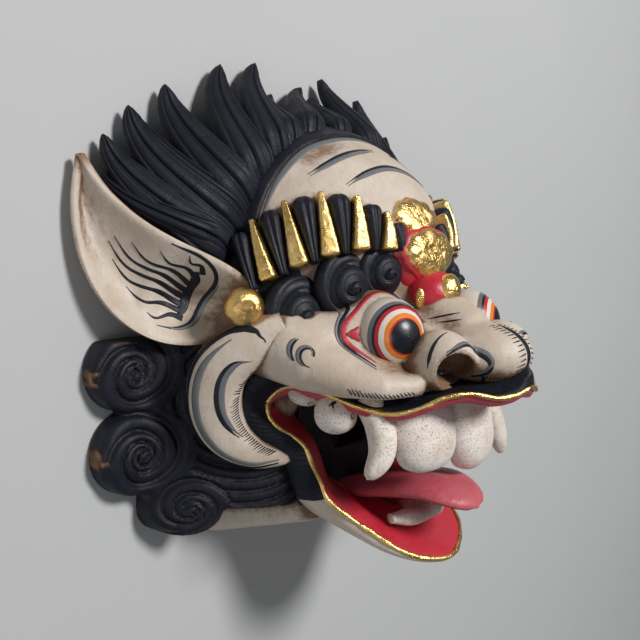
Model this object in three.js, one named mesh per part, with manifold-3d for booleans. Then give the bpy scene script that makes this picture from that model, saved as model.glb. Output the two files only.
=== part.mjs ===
// A Balinese barong mask, carved from one block of light wood and hollowed from behind, with
// the row of upper teeth and the tongue made apart and set into the mouth.
// Millimetres. The mask lies on its back rim: X runs across the face, Y up to the hair and
// Z out of the face. The origin is at the middle of the bounding box, on the rim's plane.

import * as THREE from "three";
import { mergeVertices } from "three/addons/utils/BufferGeometryUtils.js";
import Module from "manifold-3d";

const wasm = await Module();
wasm.setup();

// ---------- driving dimensions ----------

const HEAD_CENTRE = [0, 35, 8];
const HEAD_RADII = [88, 78, 83];
const HOLLOW_RADII = [78, 62, 66]; // the head's hollow for the wearer's face
const SPAN = 420; // a block larger than the mask, for flat cuts
const EYE_CENTRE = [46, 2, 106];
const EYE_RADIUS = 16.5;
const EYE_TURN = 18; // degrees that each eye looks outwards
const JOINT_GAP = 0.3; // between the block and what is set into it
const TEETH_ROOT_Y = -33; // where the set-in teeth meet the palate

const COLOURS = {
  paint: { color: 0xddd2c4, roughness: 0.6, metalness: 0 },
  teeth: { color: 0xe6dcd0, roughness: 0.75, metalness: 0 },
  tongue: { color: 0xb8404f, roughness: 0.6, metalness: 0 },
};

// ---------- closed solids from three.js geometries ----------

const vector = (p) => new THREE.Vector3(...p);
const sides = [-1, 1];
const flip = (side, p) => [side * p[0], p[1], p[2]];
const flipAll = (side, points) => points.map((p) => flip(side, p));

// A three.js geometry as a manifold-3d solid.
function solid(geometry) {
  const bare = geometry.clone();
  bare.deleteAttribute("normal");
  bare.deleteAttribute("uv");
  const merged = mergeVertices(bare, 1e-3);
  const used = [];
  const index = merged.index.array;
  for (let i = 0; i < index.length; i += 3) {
    const [a, b, c] = [index[i], index[i + 1], index[i + 2]];
    if (a !== b && b !== c && c !== a) used.push(a, b, c);
  }
  return new wasm.Manifold(
    new wasm.Mesh({
      numProp: 3,
      vertProperties: merged.attributes.position.array,
      triVerts: new Uint32Array(used),
    }),
  );
}

function ellipsoid(centre, radii, turn = [0, 0, 0], around = 16, rows = 10) {
  const geometry = new THREE.SphereGeometry(1, around, rows);
  geometry.scale(...radii);
  geometry.applyMatrix4(
    new THREE.Matrix4().makeRotationFromEuler(
      new THREE.Euler(...turn.map(THREE.MathUtils.degToRad)),
    ),
  );
  geometry.translate(...centre);
  return solid(geometry);
}

function block(low, high) {
  const size = high.map((h, i) => h - low[i]);
  const geometry = new THREE.BoxGeometry(...size);
  geometry.translate(...low.map((l, i) => l + size[i] / 2));
  return solid(geometry);
}

const curve = (points) => new THREE.CatmullRomCurve3(points.map(vector), false, "centripetal");

// A value read from evenly spaced stations, with t from 0 to 1.
function station(values, t) {
  const at = t * (values.length - 1);
  const i = Math.min(Math.floor(at), values.length - 2);
  return values[i] + (values[i + 1] - values[i]) * (at - i);
}

// A sphere drawn out along a curve: half-width and half-thickness at evenly spaced stations,
// with the thickness towards the given direction.
function stroke(points, widths, heights, up = [0, 0, 1], around = 8, rows = 8) {
  const path = curve(points);
  const geometry = new THREE.SphereGeometry(1, around, rows);
  const position = geometry.attributes.position;
  for (let row = 0; row <= rows; row++) {
    const t = row / rows;
    const centre = path.getPoint(t);
    const tangent = path.getTangent(t);
    const side = vector(up).cross(tangent).normalize();
    const top = tangent.clone().cross(side);
    const round = Math.sin(Math.PI * Math.min(t, 1 - t, 0.25) * 2);
    for (let column = 0; column <= around; column++) {
      const angle = (2 * Math.PI * (column % around)) / around;
      const point = centre
        .clone()
        .addScaledVector(side, -Math.cos(angle) * station(widths, t) * round)
        .addScaledVector(top, Math.sin(angle) * station(heights, t) * round);
      position.setXYZ(row * (around + 1) + column, point.x, point.y, point.z);
    }
  }
  return solid(geometry);
}

// A board bent to a surface: pointAt(u, v) gives its middle and thickness is measured across it.
function bentBoard(pointAt, thickness, alongU, alongV) {
  const geometry = new THREE.BoxGeometry(1, 1, 1, alongU, alongV, 1);
  const position = geometry.attributes.position;
  const step = 1e-3;
  for (let i = 0; i < position.count; i++) {
    const u = position.getX(i) + 0.5;
    const v = position.getY(i) + 0.5;
    const u0 = Math.min(u, 1 - step);
    const v0 = Math.min(v, 1 - step);
    const alongFirst = pointAt(u0 + step, v0).sub(pointAt(u0, v0));
    const alongSecond = pointAt(u0, v0 + step).sub(pointAt(u0, v0));
    const normal = alongFirst.cross(alongSecond).normalize();
    const point = pointAt(u, v).addScaledVector(normal, position.getZ(i) * thickness);
    position.setXYZ(i, point.x, point.y, point.z);
  }
  return solid(geometry);
}

const joined = (solids) => solids.reduce((whole, next) => whole.add(next));
const pair = (build) => joined(sides.map(build));

// ---------- hair ----------

// The locks of one side stand round the crown. Each has its root on the hairline, at an angle up from
// the ear, and a lean away from the middle of the head; they bulge outwards and flatten to the tip.
const HAIRLINE = { centre: [0, 40], radii: [98, 58] };
const LOCK_FALL = { root: 52, tip: 8 }; // height above the back rim
const LOCK_BULGE = 8;
const LOCKS = [
  { angle: 4, lean: 37, length: 69, width: 17 },
  { angle: 14, lean: 27, length: 67, width: 18 },
  { angle: 27, lean: 13, length: 64, width: 19 },
  { angle: 40, lean: -11, length: 66, width: 18 },
  { angle: 57, lean: -17, length: 62, width: 15 },
];
const TOP_LOCK = { angle: 77, lean: -3, length: 40, width: 12 };
const CENTRE_LOCK = { angle: 92, lean: 6, length: 41, width: 12 };

function lockPath({ angle, lean, length }) {
  const turn = THREE.MathUtils.degToRad(angle);
  const tilt = THREE.MathUtils.degToRad(lean);
  const rootX = HAIRLINE.centre[0] + HAIRLINE.radii[0] * Math.cos(turn);
  const rootY = HAIRLINE.centre[1] + HAIRLINE.radii[1] * Math.sin(turn);
  const bulge = Math.abs(rootX) < HAIRLINE.radii[0] / 4 ? 0 : LOCK_BULGE;
  return [0, 0.25, 0.5, 0.75, 1].map((t) => {
    const x = rootX + length * t * Math.sin(tilt) + bulge * Math.sin(Math.PI * t);
    const y = rootY + length * t * Math.cos(tilt);
    const z = LOCK_FALL.tip + (LOCK_FALL.root - LOCK_FALL.tip) * (0.5 + 0.5 * Math.cos(Math.PI * t));
    return [x, y, z];
  });
}

function lock(shape, side) {
  const widths = [1, 1, 1, 0.7, 0.12].map((share) => share * shape.width);
  return stroke(flipAll(side, lockPath(shape)), widths, [8, 11, 12, 9, 4], [0, 0, 1], 5, 6);
}

function hair() {
  const base = ellipsoid([0, 44, -4], [122, 84, 58], [0, 0, 0], 18, 9);
  const locks = [...LOCKS, TOP_LOCK].flatMap((one) => sides.map((side) => lock(one, side)));
  return joined([base, ...locks, lock(CENTRE_LOCK, 1)]);
}

// ---------- ears and their studs ----------

// Each rim of the ear is one curve from the head to the tip, pulled by two handles.
const EAR_BACK_RIM = [[96, -3, 38], [140, -14, 20], [163, 30, 14], [165, 86, 23]];
const EAR_FRONT_RIM = [[94, 27, 60], [116, 44, 58], [142, 44, 44], [164, 87, 25]];

const rimCurve = (points) => new THREE.CubicBezierCurve3(...points.map((p) => new THREE.Vector3(...p)));

function ear(side) {
  const back = rimCurve(flipAll(side, EAR_BACK_RIM));
  const front = rimCurve(flipAll(side, EAR_FRONT_RIM));
  const scoop = (u, v) => {
    const along = side < 0 ? 1 - u : u;
    const sag = 20 * Math.sin(Math.PI * v) * Math.sin(Math.PI * Math.min(1, along * 0.75 + 0.2));
    const point = back.getPoint(along).lerp(front.getPoint(along), v);
    return point.add(new THREE.Vector3(-side * 0.3 * sag, 0.1 * sag, -0.75 * sag));
  };
  return bentBoard(scoop, 6, 9, 5);
}

function stud(side) {
  const knob = ellipsoid(flip(side, [98, 16, 62]), [10, 10, 10], [0, 0, 0], 8, 6);
  const tip = stroke(flipAll(side, [[96, 16, 66], [104, 16, 72]]), [5, 4, 1], [5, 4, 1], [0, 1, 0], 6, 4);
  return knob.add(tip);
}

// ---------- brow: volutes, drops and the middle ornament ----------

const VOLUTES = [[34, 32, 104], [62, 28, 95], [86, 16, 83]];
const DROPS = [
  { low: [25, 40, 93], high: [23, 60, 84] },
  { low: [45, 41, 88], high: [40, 67, 76] },
  { low: [62, 38, 81], high: [55, 68, 69] },
  { low: [79, 30, 74], high: [71, 64, 58] },
  { low: [91, 26, 66], high: [84, 54, 50] },
];

function volute(centre, side) {
  const [x, y, z] = flip(side, centre);
  const roll = ellipsoid([x, y, z], [15, 13, 14], [0, 0, 0], 8, 6);
  return roll.add(ellipsoid([x - side * 4, y - 3, z + 10], [7, 7, 7], [0, 0, 0], 5, 4));
}

function drop({ low, high }, side) {
  return stroke([flip(side, low), flip(side, high)], [8, 7, 5, 2], [5, 5, 4, 2], [0, 0, 1], 5, 3);
}

function brow(side) {
  const roll = stroke(flipAll(side, [[16, 34, 92], [46, 36, 88], [78, 26, 74], [96, 10, 60]]),
    [12, 16, 16, 12], [10, 12, 12, 10], [0, 0, 1], 6, 5);
  return joined([
    roll,
    ...VOLUTES.map((centre) => volute(centre, side)),
    ...DROPS.map((one) => drop(one, side)),
  ]);
}

function middleOrnament() {
  return joined([
    ellipsoid([0, 20, 102], [15, 15, 16], [0, 0, 0], 12, 7),
    ellipsoid([0, 20, 115], [6, 9, 5], [0, 0, 0], 8, 5),
    ellipsoid([0, 43, 97], [20, 12, 9], [-30, 0, 0], 10, 6),
    ellipsoid([0, 62, 86], [17, 11, 8], [-40, 0, 0], 10, 6),
  ]);
}

// ---------- eyes, nose and muzzle ----------

function eye(side) {
  const turned = new THREE.Vector3(0, 0, 1).applyAxisAngle(
    new THREE.Vector3(0, 1, 0), side * THREE.MathUtils.degToRad(EYE_TURN));
  const ball = ellipsoid(flip(side, EYE_CENTRE), [EYE_RADIUS, EYE_RADIUS, EYE_RADIUS], [0, 0, 0], 12, 8);
  const behind = vector(flip(side, EYE_CENTRE)).addScaledVector(turned, -8);
  return ball.add(ellipsoid(behind.toArray(), [19, 18, 14], [0, side * EYE_TURN, 0], 10, 6));
}

function nose() {
  const bulb = ellipsoid([0, -6, 138], [26, 17, 25], [0, 0, 0], 12, 7);
  const wings = pair((side) => ellipsoid(flip(side, [27, -12, 134]), [17, 16, 16], [0, 0, 0], 8, 6));
  const bridge = stroke([[0, 14, 92], [0, 8, 112], [0, 4, 130]], [22, 20, 20], [14, 14, 12], [0, 0, 1], 6, 5);
  const holes = pair((side) => stroke(
    flipAll(side, [[40, -22, 152], [30, -14, 144], [22, -10, 132]]),
    [9, 9, 8], [9, 9, 8], [0, 1, 0], 6, 4));
  return joined([bulb, wings, bridge]).subtract(holes);
}

function muzzle() {
  const core = ellipsoid([0, -14, 68], [80, 32, 68], [0, 0, 0], 18, 10);
  const rolls = pair((side) => stroke(
    flipAll(side, [[84, 2, 66], [78, -10, 88], [66, -18, 110], [44, -22, 126]]),
    [14, 18, 17, 10], [13, 14, 13, 10], [side, 0.2, 0.6], 7, 6));
  return core.add(rolls);
}

// The upper lip runs from the corner of the mouth round the front, and its tip turns up.
const UPPER_LIP = [
  [73, -33, 62],
  [71, -30, 92],
  [66, -34, 116],
  [56, -36, 131],
  [42, -31, 141],
  [24, -29, 150],
  [10, -29, 158],
];
const LIP_TIP = [0, -24, 162];

function upperLip() {
  const left = flipAll(-1, UPPER_LIP);
  const right = [...UPPER_LIP].reverse();
  const round = [...left, LIP_TIP, ...right];
  const inner = (p) => [p[0] * 0.6, p[1] + 6, 60 + (p[2] - 60) * 0.45];
  const edge = curve(round);
  const root = curve(round.map(inner));
  return bentBoard((u, v) => root.getPoint(u).lerp(edge.getPoint(u), v), 7, 20, 2);
}

// ---------- cheeks, beard and jaw ----------

const cheek = (side) => ellipsoid(flip(side, [70, -28, 22]), [40, 58, 44], [0, 0, 0], 14, 8);

function cheekRoll(side) {
  const points = [[88, -4, 62], [96, -10, 48], [97, -30, 40], [95, -50, 38], [84, -64, 44], [66, -69, 56]];
  return stroke(flipAll(side, points), [10, 15, 17, 17, 14, 4], [8, 10, 11, 11, 9, 4],
    [side, 0, 0.9], 8, 9);
}

const CURLS = [
  { centre: [139, -18, 9], radius: 22 },
  { centre: [133, -60, 9], radius: 21 },
  { centre: [101, -94, 9], radius: 20 },
];

function curl({ centre, radius }, side) {
  const [x, y, z] = flip(side, centre);
  const coil = [0, 1, 2, 3, 4, 5, 6, 7].map((i) => {
    const angle = side * (0.6 + i * 0.75);
    const reach = radius * (0.82 - i * 0.075);
    return [x - side * reach * Math.cos(angle), y + side * reach * Math.sin(angle), z + 6 + i * 0.4];
  });
  const lobe = ellipsoid([x, y, z], [radius, radius, 12], [0, 0, 0], 10, 5);
  return lobe.add(stroke(coil, [5, 5, 4, 3], [5, 5, 4, 3], [0, 0, 1], 4, 7));
}

function beard(side) {
  const sheet = ellipsoid(flip(side, [106, -50, 4]), [42, 58, 18], [0, 0, side * -12], 12, 7);
  const toMouth = stroke(
    flipAll(side, [[122, -40, 10], [98, -58, 24], [76, -66, 44], [62, -72, 58]]),
    [34, 40, 36, 24], [12, 14, 16, 12], [side * 0.6, -0.3, 1], 7, 6);
  const low = stroke(flipAll(side, [[104, -86, 8], [80, -86, 30], [58, -86, 56]]),
    [16, 16, 12], [10, 12, 12], [side, -0.4, 1], 8, 6);
  return joined([sheet, toMouth, low, ...CURLS.map((one) => curl(one, side))]);
}

// The lower lip: down from the corner of the mouth, then forward along the jaw to its front.
const LOWER_LIP = [
  [75, -36, 54],
  [70, -50, 65],
  [60, -74, 73],
  [54, -90, 79],
  [46, -103, 88],
  [40, -114, 100],
  [28, -123, 111],
  [8, -128, 120],
];
const JAW_FLOOR = [
  [0, -92, 34],
  [0, -96, 48],
  [0, -99, 62],
  [0, -102, 76],
  [0, -105, 88],
  [0, -109, 100],
  [0, -116, 111],
  [0, -127, 120],
];

function lowerLip() {
  const rims = sides.map((side) => curve(flipAll(side, LOWER_LIP)));
  const floor = curve(JAW_FLOOR);
  const spoon = (u, v) => {
    const across = 2 * u - 1;
    const rim = rims[across < 0 ? 0 : 1].getPoint(v);
    const middle = floor.getPoint(v);
    const share = Math.abs(across);
    const reach = Math.sin((share * Math.PI) / 2);
    const rise = 1 - Math.cos((share * Math.PI) / 2);
    return new THREE.Vector3(
      rim.x * reach,
      middle.y + (rim.y - middle.y) * rise,
      middle.z + (rim.z - middle.z) * rise,
    );
  };
  return bentBoard(spoon, 8, 10, 8);
}

const jawHinge = (side) => stroke(
  flipAll(side, [[84, -26, 40], [80, -50, 46], [70, -76, 54], [56, -100, 62]]),
  [12, 14, 14, 10], [12, 16, 16, 12], [side, 0, 0.4], 7, 6);

const chin = () => stroke([[0, -104, -20], [0, -103, 20], [0, -104, 60], [0, -116, 112]],
  [70, 66, 56, 26], [27, 23, 14, 8], [0, 1, 0], 14, 9);

// ---------- what is cut away ----------

function mouth() {
  return joined([
    stroke([[0, -66, 8], [0, -66, 50], [0, -66, 84], [0, -66, 140]],
      [40, 46, 62, 74], [26, 30, 33, 36], [0, 1, 0], 12, 8),
    ellipsoid([0, -84, 92], [40, 28, 34], [0, 0, 0], 10, 7),
  ]);
}

function hollow() {
  return joined([
    ellipsoid([0, HEAD_CENTRE[1] - 6, -2], HOLLOW_RADII, [0, 0, 0], 16, 9),
    ellipsoid([0, -46, -2], [70, 54, 52], [0, 0, 0], 14, 8),
    ellipsoid([0, -16, 50], [52, 22, 44], [0, 0, 0], 10, 7),
  ]);
}

// ---------- the pieces ----------

// The set-in pieces are also cut from the block a little larger, by the given amount.
function teethRow(larger = 0) {
  const wider = (values) => values.map((value) => value + larger);
  const incisors = pair((side) => stroke(
    flipAll(side, [[22, -20, 112], [26, -82, 122]]),
    wider([20, 20, 19, 12]), wider([11, 11, 10, 7]), [0, 0, 1], 12, 6));
  const fangs = pair((side) => stroke(
    flipAll(side, [[56, -20, 100], [57, -50, 108], [62, -80, 110]]),
    wider([11, 11, 9, 5]), wider([11, 10, 8, 5]), [0, 0, 1], 10, 6));
  const gum = stroke([[-64, -36, 96], [-30, -36, 108], [0, -36, 112], [30, -36, 108], [64, -36, 96]],
    wider([8, 10, 10, 10, 8]), wider([8, 8, 8, 8, 8]), [0, 1, 0], 8, 10);
  const roots = block([-SPAN, TEETH_ROOT_Y + larger, -SPAN], [SPAN, SPAN, SPAN]);
  return joined([incisors, fangs, gum]).subtract(roots);
}

function tongueBody(larger = 0) {
  const wider = (values) => values.map((value) => value + larger);
  return stroke([[0, -104, 46], [0, -90, 76], [0, -84, 106], [0, -90, 137]],
    wider([18, 25, 24, 14]), wider([7, 8, 7, 5]), [0, 1, 0], 14, 9);
}

function maskBlock() {
  const head = ellipsoid(HEAD_CENTRE, HEAD_RADII, [0, 0, 0], 18, 10);
  const behindWall = block([-SPAN, -SPAN, -SPAN], [SPAN, SPAN, 0]);
  const mass = joined([head, hair(), muzzle(), chin(), ...sides.flatMap((side) => [
    cheek(side), cheekRoll(side), beard(side), jawHinge(side),
  ])]);
  const molars = pair((side) => ellipsoid(flip(side, [68, -38, 94]), [9, 10, 10], [0, 0, 0], 8, 6));
  const palate = block([-66, TEETH_ROOT_Y + JOINT_GAP, 86], [66, TEETH_ROOT_Y + 12, 122]);
  const carved = mass
    .subtract(mouth())
    .subtract(hollow())
    .add(joined([upperLip(), lowerLip(), palate, molars, nose(), middleOrnament()]))
    .add(joined(sides.flatMap((side) => [eye(side), brow(side), ear(side), stud(side)])));
  return carved
    .subtract(behindWall)
    .subtract(teethRow(JOINT_GAP))
    .subtract(tongueBody(JOINT_GAP));
}

function meshOf(name, made, looks) {
  const { numProp, numVert, vertProperties, triVerts } = made.getMesh();
  const places = new Float32Array(numVert * 3);
  for (let i = 0; i < numVert; i++) {
    places.set(vertProperties.subarray(i * numProp, i * numProp + 3), i * 3);
  }
  const geometry = new THREE.BufferGeometry();
  geometry.setAttribute("position", new THREE.BufferAttribute(places, 3));
  geometry.setIndex(new THREE.BufferAttribute(triVerts, 1));
  geometry.computeVertexNormals();
  const mesh = new THREE.Mesh(geometry, new THREE.MeshStandardMaterial(looks));
  mesh.name = name;
  return mesh;
}

const largest = (made) =>
  made.decompose().reduce((best, next) => (next.volume() > best.volume() ? next : best));

const mask = new THREE.Group();
mask.add(
  meshOf("mask_block", largest(maskBlock()), COLOURS.paint),
  meshOf("upper_teeth", teethRow(), COLOURS.teeth),
  meshOf("tongue", tongueBody(), COLOURS.tongue),
);
mask.position.y = -new THREE.Box3().setFromObject(mask).getCenter(new THREE.Vector3()).y;

export default mask;
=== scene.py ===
"""The looks of the barong mask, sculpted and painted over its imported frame.

Points are in millimetres on the mask: X across the face, Y up to the hair, Z out of the face,
with Z = 0 on the back rim. Most are given for one half and mirrored.
"""

import math

import bpy
import numpy as np
from mathutils import Matrix, Vector
from mathutils.bvhtree import BVHTree


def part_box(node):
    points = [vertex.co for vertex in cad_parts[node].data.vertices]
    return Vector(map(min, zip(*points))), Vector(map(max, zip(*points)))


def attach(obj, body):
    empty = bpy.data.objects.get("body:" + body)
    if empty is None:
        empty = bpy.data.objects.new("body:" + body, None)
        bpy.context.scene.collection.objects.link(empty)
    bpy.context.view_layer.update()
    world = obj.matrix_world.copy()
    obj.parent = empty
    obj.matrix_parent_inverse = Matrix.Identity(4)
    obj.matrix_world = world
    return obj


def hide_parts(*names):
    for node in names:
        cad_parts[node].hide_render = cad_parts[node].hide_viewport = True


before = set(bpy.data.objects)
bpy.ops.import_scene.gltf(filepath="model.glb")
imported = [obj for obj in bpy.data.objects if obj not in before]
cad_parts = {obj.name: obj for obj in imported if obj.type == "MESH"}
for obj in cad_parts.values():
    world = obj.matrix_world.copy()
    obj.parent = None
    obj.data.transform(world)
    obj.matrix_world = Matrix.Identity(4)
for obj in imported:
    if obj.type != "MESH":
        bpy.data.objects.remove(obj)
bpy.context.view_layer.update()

MM = 0.001
HAIR_TOP = 148.0  # Y of the highest lock
SHIFT = np.array([0.0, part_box("mask_block")[1].y / MM - HAIR_TOP, 0.0])
CELL = 1.45  # grid of the sculpted bodies
BOTH = (-1, 1)
random = np.random.default_rng(7)
pieces = []  # every finished piece

EYE = np.array([40.0, -0.5, 106.0])
EYE_RADIUS = 18.5
EYE_TURN = math.radians(22)  # each eye looks outwards by this
SHADE_REACH = 20.0  # how far off a surface still closes in a corner
SHADE_RAYS = 9
RAY_START = 60  # how far in front of the surface a ray begins
HAIR_STROKE = 0.42  # half-width of a painted hair at its root
PAINT_RELIEF = 0.4


def flip(side, points):
    """Points of the right half (X > 0) taken to the given side."""
    return np.asarray(points, float) * np.array([side, 1.0, 1.0])


def sided(name, side):
    return f"{name}_left" if side < 0 else f"{name}_right"


def unit(v):
    v = np.asarray(v, float)
    return v / np.maximum(np.linalg.norm(v, axis=-1, keepdims=True), 1e-9)


# ---------- meshes ----------


class Piece:
    """Closed bodies gathered into one mesh object."""

    def __init__(self):
        self.verts = []
        self.faces = []
        self.slots = []
        self.marks = []
        self.count = 0

    def add(self, verts, faces, slot=0, mark=None):
        """faces is a list of index arrays; slot is a number, or one array for each of them."""
        verts = np.asarray(verts, float)
        faces = [np.asarray(f, int) for f in faces if len(f)]
        if volume(verts, faces) < 0:
            faces = [f[:, ::-1] for f in faces]
        slots = [slot] * len(faces) if np.isscalar(slot) else slot
        for f, s in zip(faces, slots):
            self.faces.append(f + self.count)
            self.slots.append(np.broadcast_to(s, len(f)))
        self.verts.append(verts)
        self.marks.append(np.zeros(len(verts)) if mark is None else np.asarray(mark, float))
        self.count += len(verts)
        return self

    def make(self, name, materials, slot="painted_wood"):
        verts = np.concatenate(self.verts)
        verts[:, 2] = np.maximum(verts[:, 2], 0)  # nothing reaches behind the back rim
        mesh = bpy.data.meshes.new(name)
        mesh.vertices.add(len(verts))
        mesh.vertices.foreach_set("co", ((verts + SHIFT) * MM).ravel())
        loops = np.concatenate([f.ravel() for f in self.faces])
        sizes = np.concatenate([np.full(len(f), f.shape[1]) for f in self.faces])
        mesh.loops.add(len(loops))
        mesh.loops.foreach_set("vertex_index", loops)
        mesh.polygons.add(len(sizes))
        mesh.polygons.foreach_set("loop_start", np.concatenate([[0], np.cumsum(sizes)[:-1]]))
        mesh.polygons.foreach_set("material_index", np.concatenate(self.slots).astype(np.int32))
        mesh.update(calc_edges=True)
        mesh.validate()
        mesh.shade_smooth()
        write_marks(mesh, "mark", np.concatenate(self.marks))
        write_marks(mesh, "cavity", cavity(verts, self.faces))
        for material in materials:
            mesh.materials.append(material)
        made = bpy.data.objects.new(name, mesh)
        bpy.context.scene.collection.objects.link(made)
        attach(made, "root")
        pieces.append(made)
        return made


def write_marks(mesh, name, values):
    layer = mesh.attributes.new(name, "FLOAT", "POINT")
    layer.data.foreach_set("value", np.asarray(values, np.float32))


def triangles(faces):
    out = []
    for f in faces:
        out += [f[:, [0, i, i + 1]] for i in range(1, f.shape[1] - 1)]
    return np.concatenate(out)


def volume(verts, faces):
    t = triangles(faces)
    a, b, c = verts[t[:, 0]], verts[t[:, 1]], verts[t[:, 2]]
    return float(np.einsum("ij,ij->i", a, np.cross(b, c)).sum())


def cavity(verts, faces):
    """How deep each vertex lies in a groove: above 0 in hollows, below 0 on ridges."""
    n = len(verts)
    t = triangles(faces)
    cross = np.cross(verts[t[:, 1]] - verts[t[:, 0]], verts[t[:, 2]] - verts[t[:, 0]])
    normal = np.stack([
        np.bincount(t.ravel(), np.repeat(cross[:, k], 3), n) for k in range(3)
    ], axis=1)
    normal = unit(normal)
    a = np.concatenate([f.ravel() for f in faces])
    b = np.concatenate([np.roll(f, -1, axis=1).ravel() for f in faces])
    first, second = np.concatenate([a, b]), np.concatenate([b, a])
    links = np.maximum(np.bincount(first, minlength=n), 1)

    def spread(values):
        return np.bincount(first, values[second], n) / links

    middle = np.stack([spread(verts[:, k]) for k in range(3)], axis=1)
    length = spread(np.zeros(n)) + np.bincount(
        first, np.linalg.norm(verts[first] - verts[second], axis=1), n) / links
    depth = np.einsum("ij,ij->i", middle - verts, normal) / np.maximum(length, 1e-6)
    for _ in range(3):
        depth = 0.4 * depth + 0.6 * spread(depth)
    return np.clip(depth * 6, -1, 1)


def grid(rows, columns, wrap=False):
    """Quads of a grid of vertices stored row by row; wrap joins each row's ends."""
    r = np.arange(rows - 1)[:, None] * columns
    c = np.arange(columns if wrap else columns - 1)[None, :]
    n = (c + 1) % columns
    return np.stack([r + c, r + n, r + columns + n, r + columns + c], axis=-1).reshape(-1, 4)


def fan(hub, first, count, turned_over=False):
    """Triangles from one vertex to a closed ring of count vertices that begins at first."""
    i = np.arange(count)
    j = (i + 1) % count
    a, b = (j, i) if turned_over else (i, j)
    return np.stack([np.full(count, hub), first + a, first + b], 1)


def resample(points, count):
    """A smooth curve through the points, evenly spaced along its length."""
    p = np.asarray(points, float)
    if len(p) == 2:
        return p[0] + (p[1] - p[0]) * np.linspace(0, 1, count)[:, None]
    ext = np.concatenate([[2 * p[0] - p[1]], p, [2 * p[-1] - p[-2]]])
    fine = []
    for i in range(len(p) - 1):
        a, b, c, d = ext[i : i + 4]
        t = np.linspace(0, 1, 25)[:-1, None]
        fine.append(0.5 * (2 * b + (c - a) * t + (2 * a - 5 * b + 4 * c - d) * t**2
                           + (3 * b - a - 3 * c + d) * t**3))
    fine = np.concatenate(fine + [p[-1:]])
    along = np.concatenate([[0], np.cumsum(np.linalg.norm(np.diff(fine, axis=0), axis=1))])
    want = np.linspace(0, along[-1], count)
    return np.stack([np.interp(want, along, fine[:, k]) for k in range(3)], axis=1)


def bezier(handles, count):
    """A cubic curve from the first point to the last, pulled by the two between, evenly spaced."""
    a, b, c, d = np.asarray(handles, float)
    t = np.linspace(0, 1, 9)[:, None]
    u = 1 - t
    return resample(a * u**3 + 3 * b * u * u * t + 3 * c * u * t * t + d * t**3, count)


def stations(values, t):
    """A value that passes smoothly through evenly spaced stations, t from 0 to 1."""
    values = np.asarray(values, float)
    x = np.clip(t, 0, 1) * (len(values) - 1)
    i = np.minimum(x.astype(int), len(values) - 2)
    f = x - i
    f = f * f * (3 - 2 * f)
    return values[i] * (1 - f) + values[i + 1] * f


def section(ridges=0, depth=0.0, sharp=0.1, count=40, square=2.6):
    """A closed cross-section of half-width 1 and height 1, its top cut by grooves."""
    u = -np.cos(np.linspace(0, math.pi, count))
    top = np.sqrt(np.maximum(0, 1 - np.abs(u) ** square))
    for k in range(1, ridges):
        at = -1 + 2 * (k + 0.22 * math.sin(3.7 * k)) / ridges
        cut_in = depth * (0.6 + 0.4 * math.sin(2.3 * k + 1))
        top = top * (1 - cut_in * np.exp(-(((u - at) / sharp) ** 2)))
    v = np.cos(np.linspace(0, math.pi, 10))[1:-1]
    low = -0.7 * np.sqrt(1 - v**2)
    return np.concatenate([np.stack([u, top], 1), np.stack([v, low], 1)])


def sweep(piece, points, widths, heights, up=(0, 0, 1), shape=None, along=40, wave=0.0):
    """Adds a body swept along a curve, its section's width and height set at even stations."""
    shape = section(count=12) if shape is None else shape
    path = resample(points, along)
    t = np.linspace(0, 1, along)
    tangent = unit(np.gradient(path, axis=0))
    ups = np.asarray(up, float)
    if ups.ndim == 2:
        ups = resample(ups, along)
    side = unit(np.cross(tangent, np.broadcast_to(ups, path.shape)))
    top = unit(np.cross(side, tangent))
    w = stations(widths, t)[:, None, None]
    h = stations(heights, t)[:, None, None]
    if wave:
        w = w * (1 + wave * np.sin(9 * t + len(points))[:, None, None])
    ring = path[:, None] + side[:, None] * w * shape[None, :, :1] + top[:, None] * h * shape[None, :, 1:]
    verts = np.concatenate([ring.reshape(-1, 3), path[:1], path[-1:]])
    n, m = along, len(shape)
    ends = [fan(n * m, 0, m, True), fan(n * m + 1, (n - 1) * m, m)]
    return piece.add(verts, [grid(n, m, wrap=True), *ends])


def ball(rows, around):
    """The directions over a sphere, from its Z pole down, and the faces between them."""
    theta = np.linspace(0, math.pi, rows)[1:-1, None]
    phi = np.linspace(0, 2 * math.pi, around + 1)[None, :-1]
    ring = np.stack([np.sin(theta) * np.cos(phi), np.sin(theta) * np.sin(phi), np.cos(theta) + 0 * phi], -1)
    dirs = np.concatenate([ring.reshape(-1, 3), [[0, 0, 1], [0, 0, -1]]])
    n = rows - 2
    poles = [fan(n * around, 0, around), fan(n * around + 1, (n - 1) * around, around, True)]
    return dirs, [grid(n, around, wrap=True), *poles]


def blob(piece, centre, radii, turn=None, shape=None):
    """Adds a rounded body: an ellipsoid, or shape(directions) as a factor on its radius."""
    dirs, faces = ball(24, 40)
    verts = dirs * (1 if shape is None else shape(dirs)[:, None]) * np.asarray(radii, float)
    if turn is not None:
        verts = verts @ np.asarray(turn).T
    return piece.add(verts + np.asarray(centre, float), faces)


def turned(axis):
    """A rotation whose Z is the axis and whose Y leans to the hair."""
    z = unit(axis)
    x = unit(np.cross((0, 1, 0), z))
    return np.stack([x, np.cross(z, x), z], axis=1)


def board(piece, front, back, slot=0):
    """Adds a body between two grids of points, closed round their edges."""
    rows, columns = front.shape[:2]
    n = rows * columns
    verts = np.concatenate([front.reshape(-1, 3), back.reshape(-1, 3)])
    face = grid(rows, columns)
    index = np.arange(n).reshape(rows, columns)
    edge = np.concatenate([index[0, :-1], index[:-1, -1], index[-1, :0:-1], index[:0:-1, 0]])
    after = np.roll(edge, -1)
    rim = np.stack([after, edge, edge + n, after + n], 1)
    return piece.add(verts, [face, face[:, ::-1] + n, rim], slot)


# ---------- sculpted bodies ----------


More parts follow.
